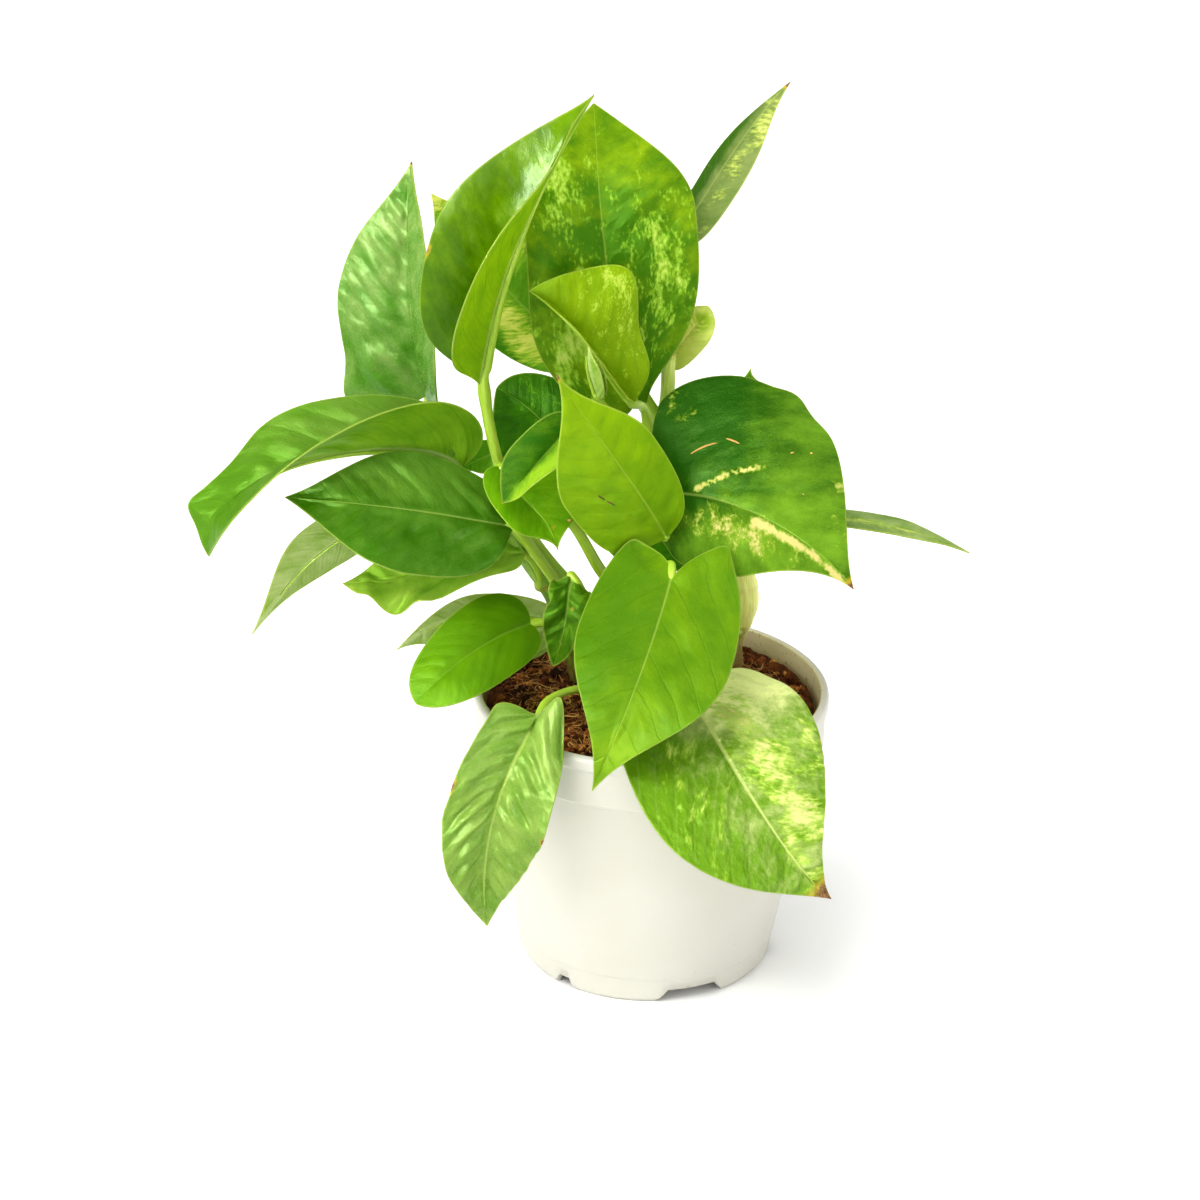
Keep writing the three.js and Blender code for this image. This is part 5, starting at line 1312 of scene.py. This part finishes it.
def make_fibres():
    """Coir fibres: three-sided threads on the soil, each bent in a shallow arc of its own."""
    rng = np.random.default_rng(SEED + 2)
    x, y = scatter(rng, FIBRE_COUNT, FIBRE_CLEARANCE, SOIL_RADIUS - 5.5)
    count, steps = len(x), 9
    t = np.linspace(-1, 1, steps)[None]
    reach = (FIBRE_REACH[0] + FIBRE_REACH[1] * rng.random(count) ** 1.5)[:, None]
    heading = (2 * np.pi * rng.random(count))[:, None]
    bend = (rng.normal(size=count) * 0.9)[:, None]
    angle = heading + bend * t
    path_x = x[:, None] + reach * t * np.cos(angle)
    path_y = y[:, None] + reach * t * np.sin(angle)
    inside = np.minimum(1, (SOIL_RADIUS - 1.0) / np.hypot(path_x, path_y))
    path_x, path_y = path_x * inside, path_y * inside
    tilt = (rng.normal(size=count) * 0.5)[:, None]
    path_z = soil_height(path_x, path_y) + 0.7 + tilt * t + (0.5 * rng.random(count))[:, None] * (1 - t * t)
    path = np.stack([path_x, path_y, path_z], axis=-1)
    tangent = unit(np.gradient(path, axis=1))
    side = unit(np.cross(tangent, [0, 0, 1.0]))
    lift = np.cross(side, tangent)
    thick = (FIBRE_RADIUS[0] + FIBRE_RADIUS[1] * rng.random(count) ** 2)[:, None]
    thick = thick * (1 - 0.75 * np.abs(t) ** 3)
    corner = turns(3)
    spoke = side[:, :, None] * np.cos(corner)[:, None] + lift[:, :, None] * np.sin(corner)[:, None]
    points = (path[:, :, None] + spoke * thick[..., None, None]).reshape(-1, 3)
    index = np.arange(steps * 3).reshape(steps, 3)
    after = np.roll(index, -1, axis=1)
    quads = np.stack([index[:-1], index[1:], after[1:], after[:-1]], axis=-1).reshape(-1, 4)
    offset = steps * 3 * np.arange(count)
    every = (quads[None] + offset[:, None, None]).reshape(-1, 4).tolist()
    ends = np.array([[0, 1, 2], [steps * 3 - 1, steps * 3 - 2, steps * 3 - 3]])
    every += (ends[None] + offset[:, None, None]).reshape(-1, 3).tolist()
    tint = np.repeat(0.6 + 0.4 * rng.random(count), steps * 3)
    piece = make_piece("soil_fibres", points, every, [fibre_finish()], own={"grain": tint})
    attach(piece, "root")


def soil_finish():
    """Coco peat: dark red-brown, orange-brown crumbs here and there, dull and grainy."""
    f = Finish("coco_peat")
    place = f.object_place()
    coarse = f.noise(place, scale=260.0, detail=4.0, rough=0.6)
    fine = f.noise(place, scale=1500.0, detail=3.0, rough=0.6)
    tone = f.vary(f.plus(f.times(f.own("grain"), 0.5), f.times(coarse, 0.5)), fine, 0.5)
    colour = f.blend(f.ramp(tone, 0.2, 0.62), paint("241208"), paint("7a4620"))
    colour = f.blend(f.ramp(tone, 0.58, 0.82), colour, paint("cb9150"))
    bump = f.bump(f.plus(coarse, f.times(fine, 0.4)), 0.8, 0.0008)
    dull = {"Normal": bump, "Specular IOR Level": 0.2}
    return f.close(f.body(colour, f.ramp(fine, 0.2, 0.8, 0.8, 0.98), dull))


def fibre_finish():
    """Coir: golden tan threads, each a little different."""
    f = Finish("coir_fibre")
    fine = f.noise(f.object_place(), scale=900.0)
    tone = f.plus(f.times(f.own("grain"), 0.8), f.times(fine, 0.4))
    colour = f.blend(f.ramp(tone, 0.55, 1.1), paint("7c4c22"), paint("dcae64"))
    return f.close(f.body(colour, f.ramp(fine, 0.2, 0.8, 0.6, 0.85)))


def lay_floor():
    """Floor: a wide pale sheet at Z = 0."""
    f = Finish("pale_floor")
    tone = f.noise(f.object_place(), scale=3.0)
    colour = f.blend(f.ramp(tone, 0.2, 0.8), (0.93, 0.93, 0.925, 1), (0.95, 0.95, 0.945, 1))
    finish = f.close(f.body(colour, 0.9, {"Specular IOR Level": 0.1}))
    corners = np.array([[-1, -1, 0], [1, -1, 0], [1, 1, 0], [-1, 1, 0]]) * FLOOR_REACH
    floor = make_piece("floor", corners, [[0, 1, 2, 3]], [finish])


def set_camera():
    """Camera on the line that rises at the tilt from the point that it looks at."""
    tilt, roll = math.radians(TILT_DEGREES), math.radians(ROLL_DEGREES)
    back = np.array([0, -math.cos(tilt), math.sin(tilt)])
    flat, rise = np.array([1.0, 0, 0]), np.array([0, math.sin(tilt), math.cos(tilt)])
    right = flat * math.cos(roll) + rise * math.sin(roll)
    up = rise * math.cos(roll) - flat * math.sin(roll)
    place = (np.array(AIM_MM) + back * DISTANCE_MM) * MM
    data = bpy.data.cameras.new("camera")
    data.lens = LENS_MM
    data.sensor_width = 36
    data.clip_start = 0.05
    data.clip_end = 50
    camera = bpy.data.objects.new("camera", data)
    turned = np.column_stack([right, up, back, place])
    camera.matrix_world = Matrix([*turned.tolist(), [0, 0, 0, 1]])
    bpy.context.scene.collection.objects.link(camera)
    bpy.context.scene.camera = camera


def add_lamp(data, place, target):
    """A lamp at a place in metres, turned to the target, that gloss doesn't mirror."""
    lamp = bpy.data.objects.new(data.name, data)
    lamp.location = place
    lamp.visible_glossy = False
    lamp.rotation_euler = (Vector(target) - Vector(place)).to_track_quat("-Z", "Y").to_euler()
    bpy.context.scene.collection.objects.link(lamp)


def set_world():
    """White dome of even strength, in which only gloss sees the windows: soft discs of bright light."""
    world = bpy.data.worlds.new("studio")
    bpy.context.scene.world = world
    world.use_nodes = True
    tree = world.node_tree
    direction = tree.nodes.new("ShaderNodeTexCoord").outputs["Generated"]
    total = None
    for toward, low, high, strength in WINDOWS:
        aim = tree.nodes.new("ShaderNodeVectorMath")
        aim.operation = "DOT_PRODUCT"
        tree.links.new(direction, aim.inputs[0])
        aim.inputs[1].default_value = toward
        glow = tree.nodes.new("ShaderNodeMapRange")
        glow.interpolation_type = "SMOOTHSTEP"
        tree.links.new(aim.outputs["Value"], glow.inputs["Value"])
        limits = {"From Min": low, "From Max": high, "To Min": WINDOW_SPILL, "To Max": strength}
        for key, value in limits.items():
            glow.inputs[key].default_value = value
        if total is None:
            total = glow.outputs[0]
        else:
            both = tree.nodes.new("ShaderNodeMath")
            tree.links.new(total, both.inputs[0])
            tree.links.new(glow.outputs[0], both.inputs[1])
            total = both.outputs[0]
    ray = tree.nodes.new("ShaderNodeLightPath")
    pick = tree.nodes.new("ShaderNodeMix")
    pick.inputs[2].default_value = DOME
    tree.links.new(ray.outputs["Is Glossy Ray"], pick.inputs[0])
    tree.links.new(total, pick.inputs[3])
    tree.links.new(pick.outputs[0], tree.nodes["Background"].inputs["Strength"])
    tree.nodes["Background"].inputs["Color"].default_value = (1.0, 1.0, 1.0, 1)


def set_lights():
    """Soft studio light: the dome, a broad key from the upper left front and two soft boxes."""
    set_world()
    sun = bpy.data.lights.new("key", "SUN")
    sun.energy = KEY_ENERGY
    sun.angle = math.radians(KEY_DEGREES)
    add_lamp(sun, KEY_PLACE, KEY_AIM)
    for name, (place, watts) in SOFT_BOXES.items():
        box = bpy.data.lights.new(name, "AREA")
        box.shape = "SQUARE"
        box.size = BOX_SIZE
        box.energy = watts
        add_lamp(box, place, BOX_AIM)
    bpy.context.scene.view_settings.view_transform = "Standard"
    bpy.context.scene.view_settings.look = "Medium High Contrast"


set_camera()
set_lights()
lay_floor()
make_pot()
make_soil()
make_crumbs()
make_fibres()

stem_green = vine_finish("stem_green", "5c8a24", "9ab848", "6d5a2c", 0.6)
stem_light = vine_finish("stem_light", "98b43c", "c6d070", "7a6a34", 0.3)
stem_pale = vine_finish("stem_pale", "d4d870", "f0ee98", "74522a", 0.1)
own_stems = {"vine_right": stem_pale, "vine_back": stem_light}
for spec in VINES:
    grow_vine(spec, own_stems.get(spec["name"], stem_green))

undersides = {key: under_finish("underside_" + key, *pair) for key, pair in UNDERSIDES.items()}
stalk_paint = stalk_finish()
lay_bits({leaf["name"]: grow_leaf(leaf, undersides, stalk_paint) for leaf in LEAVES})
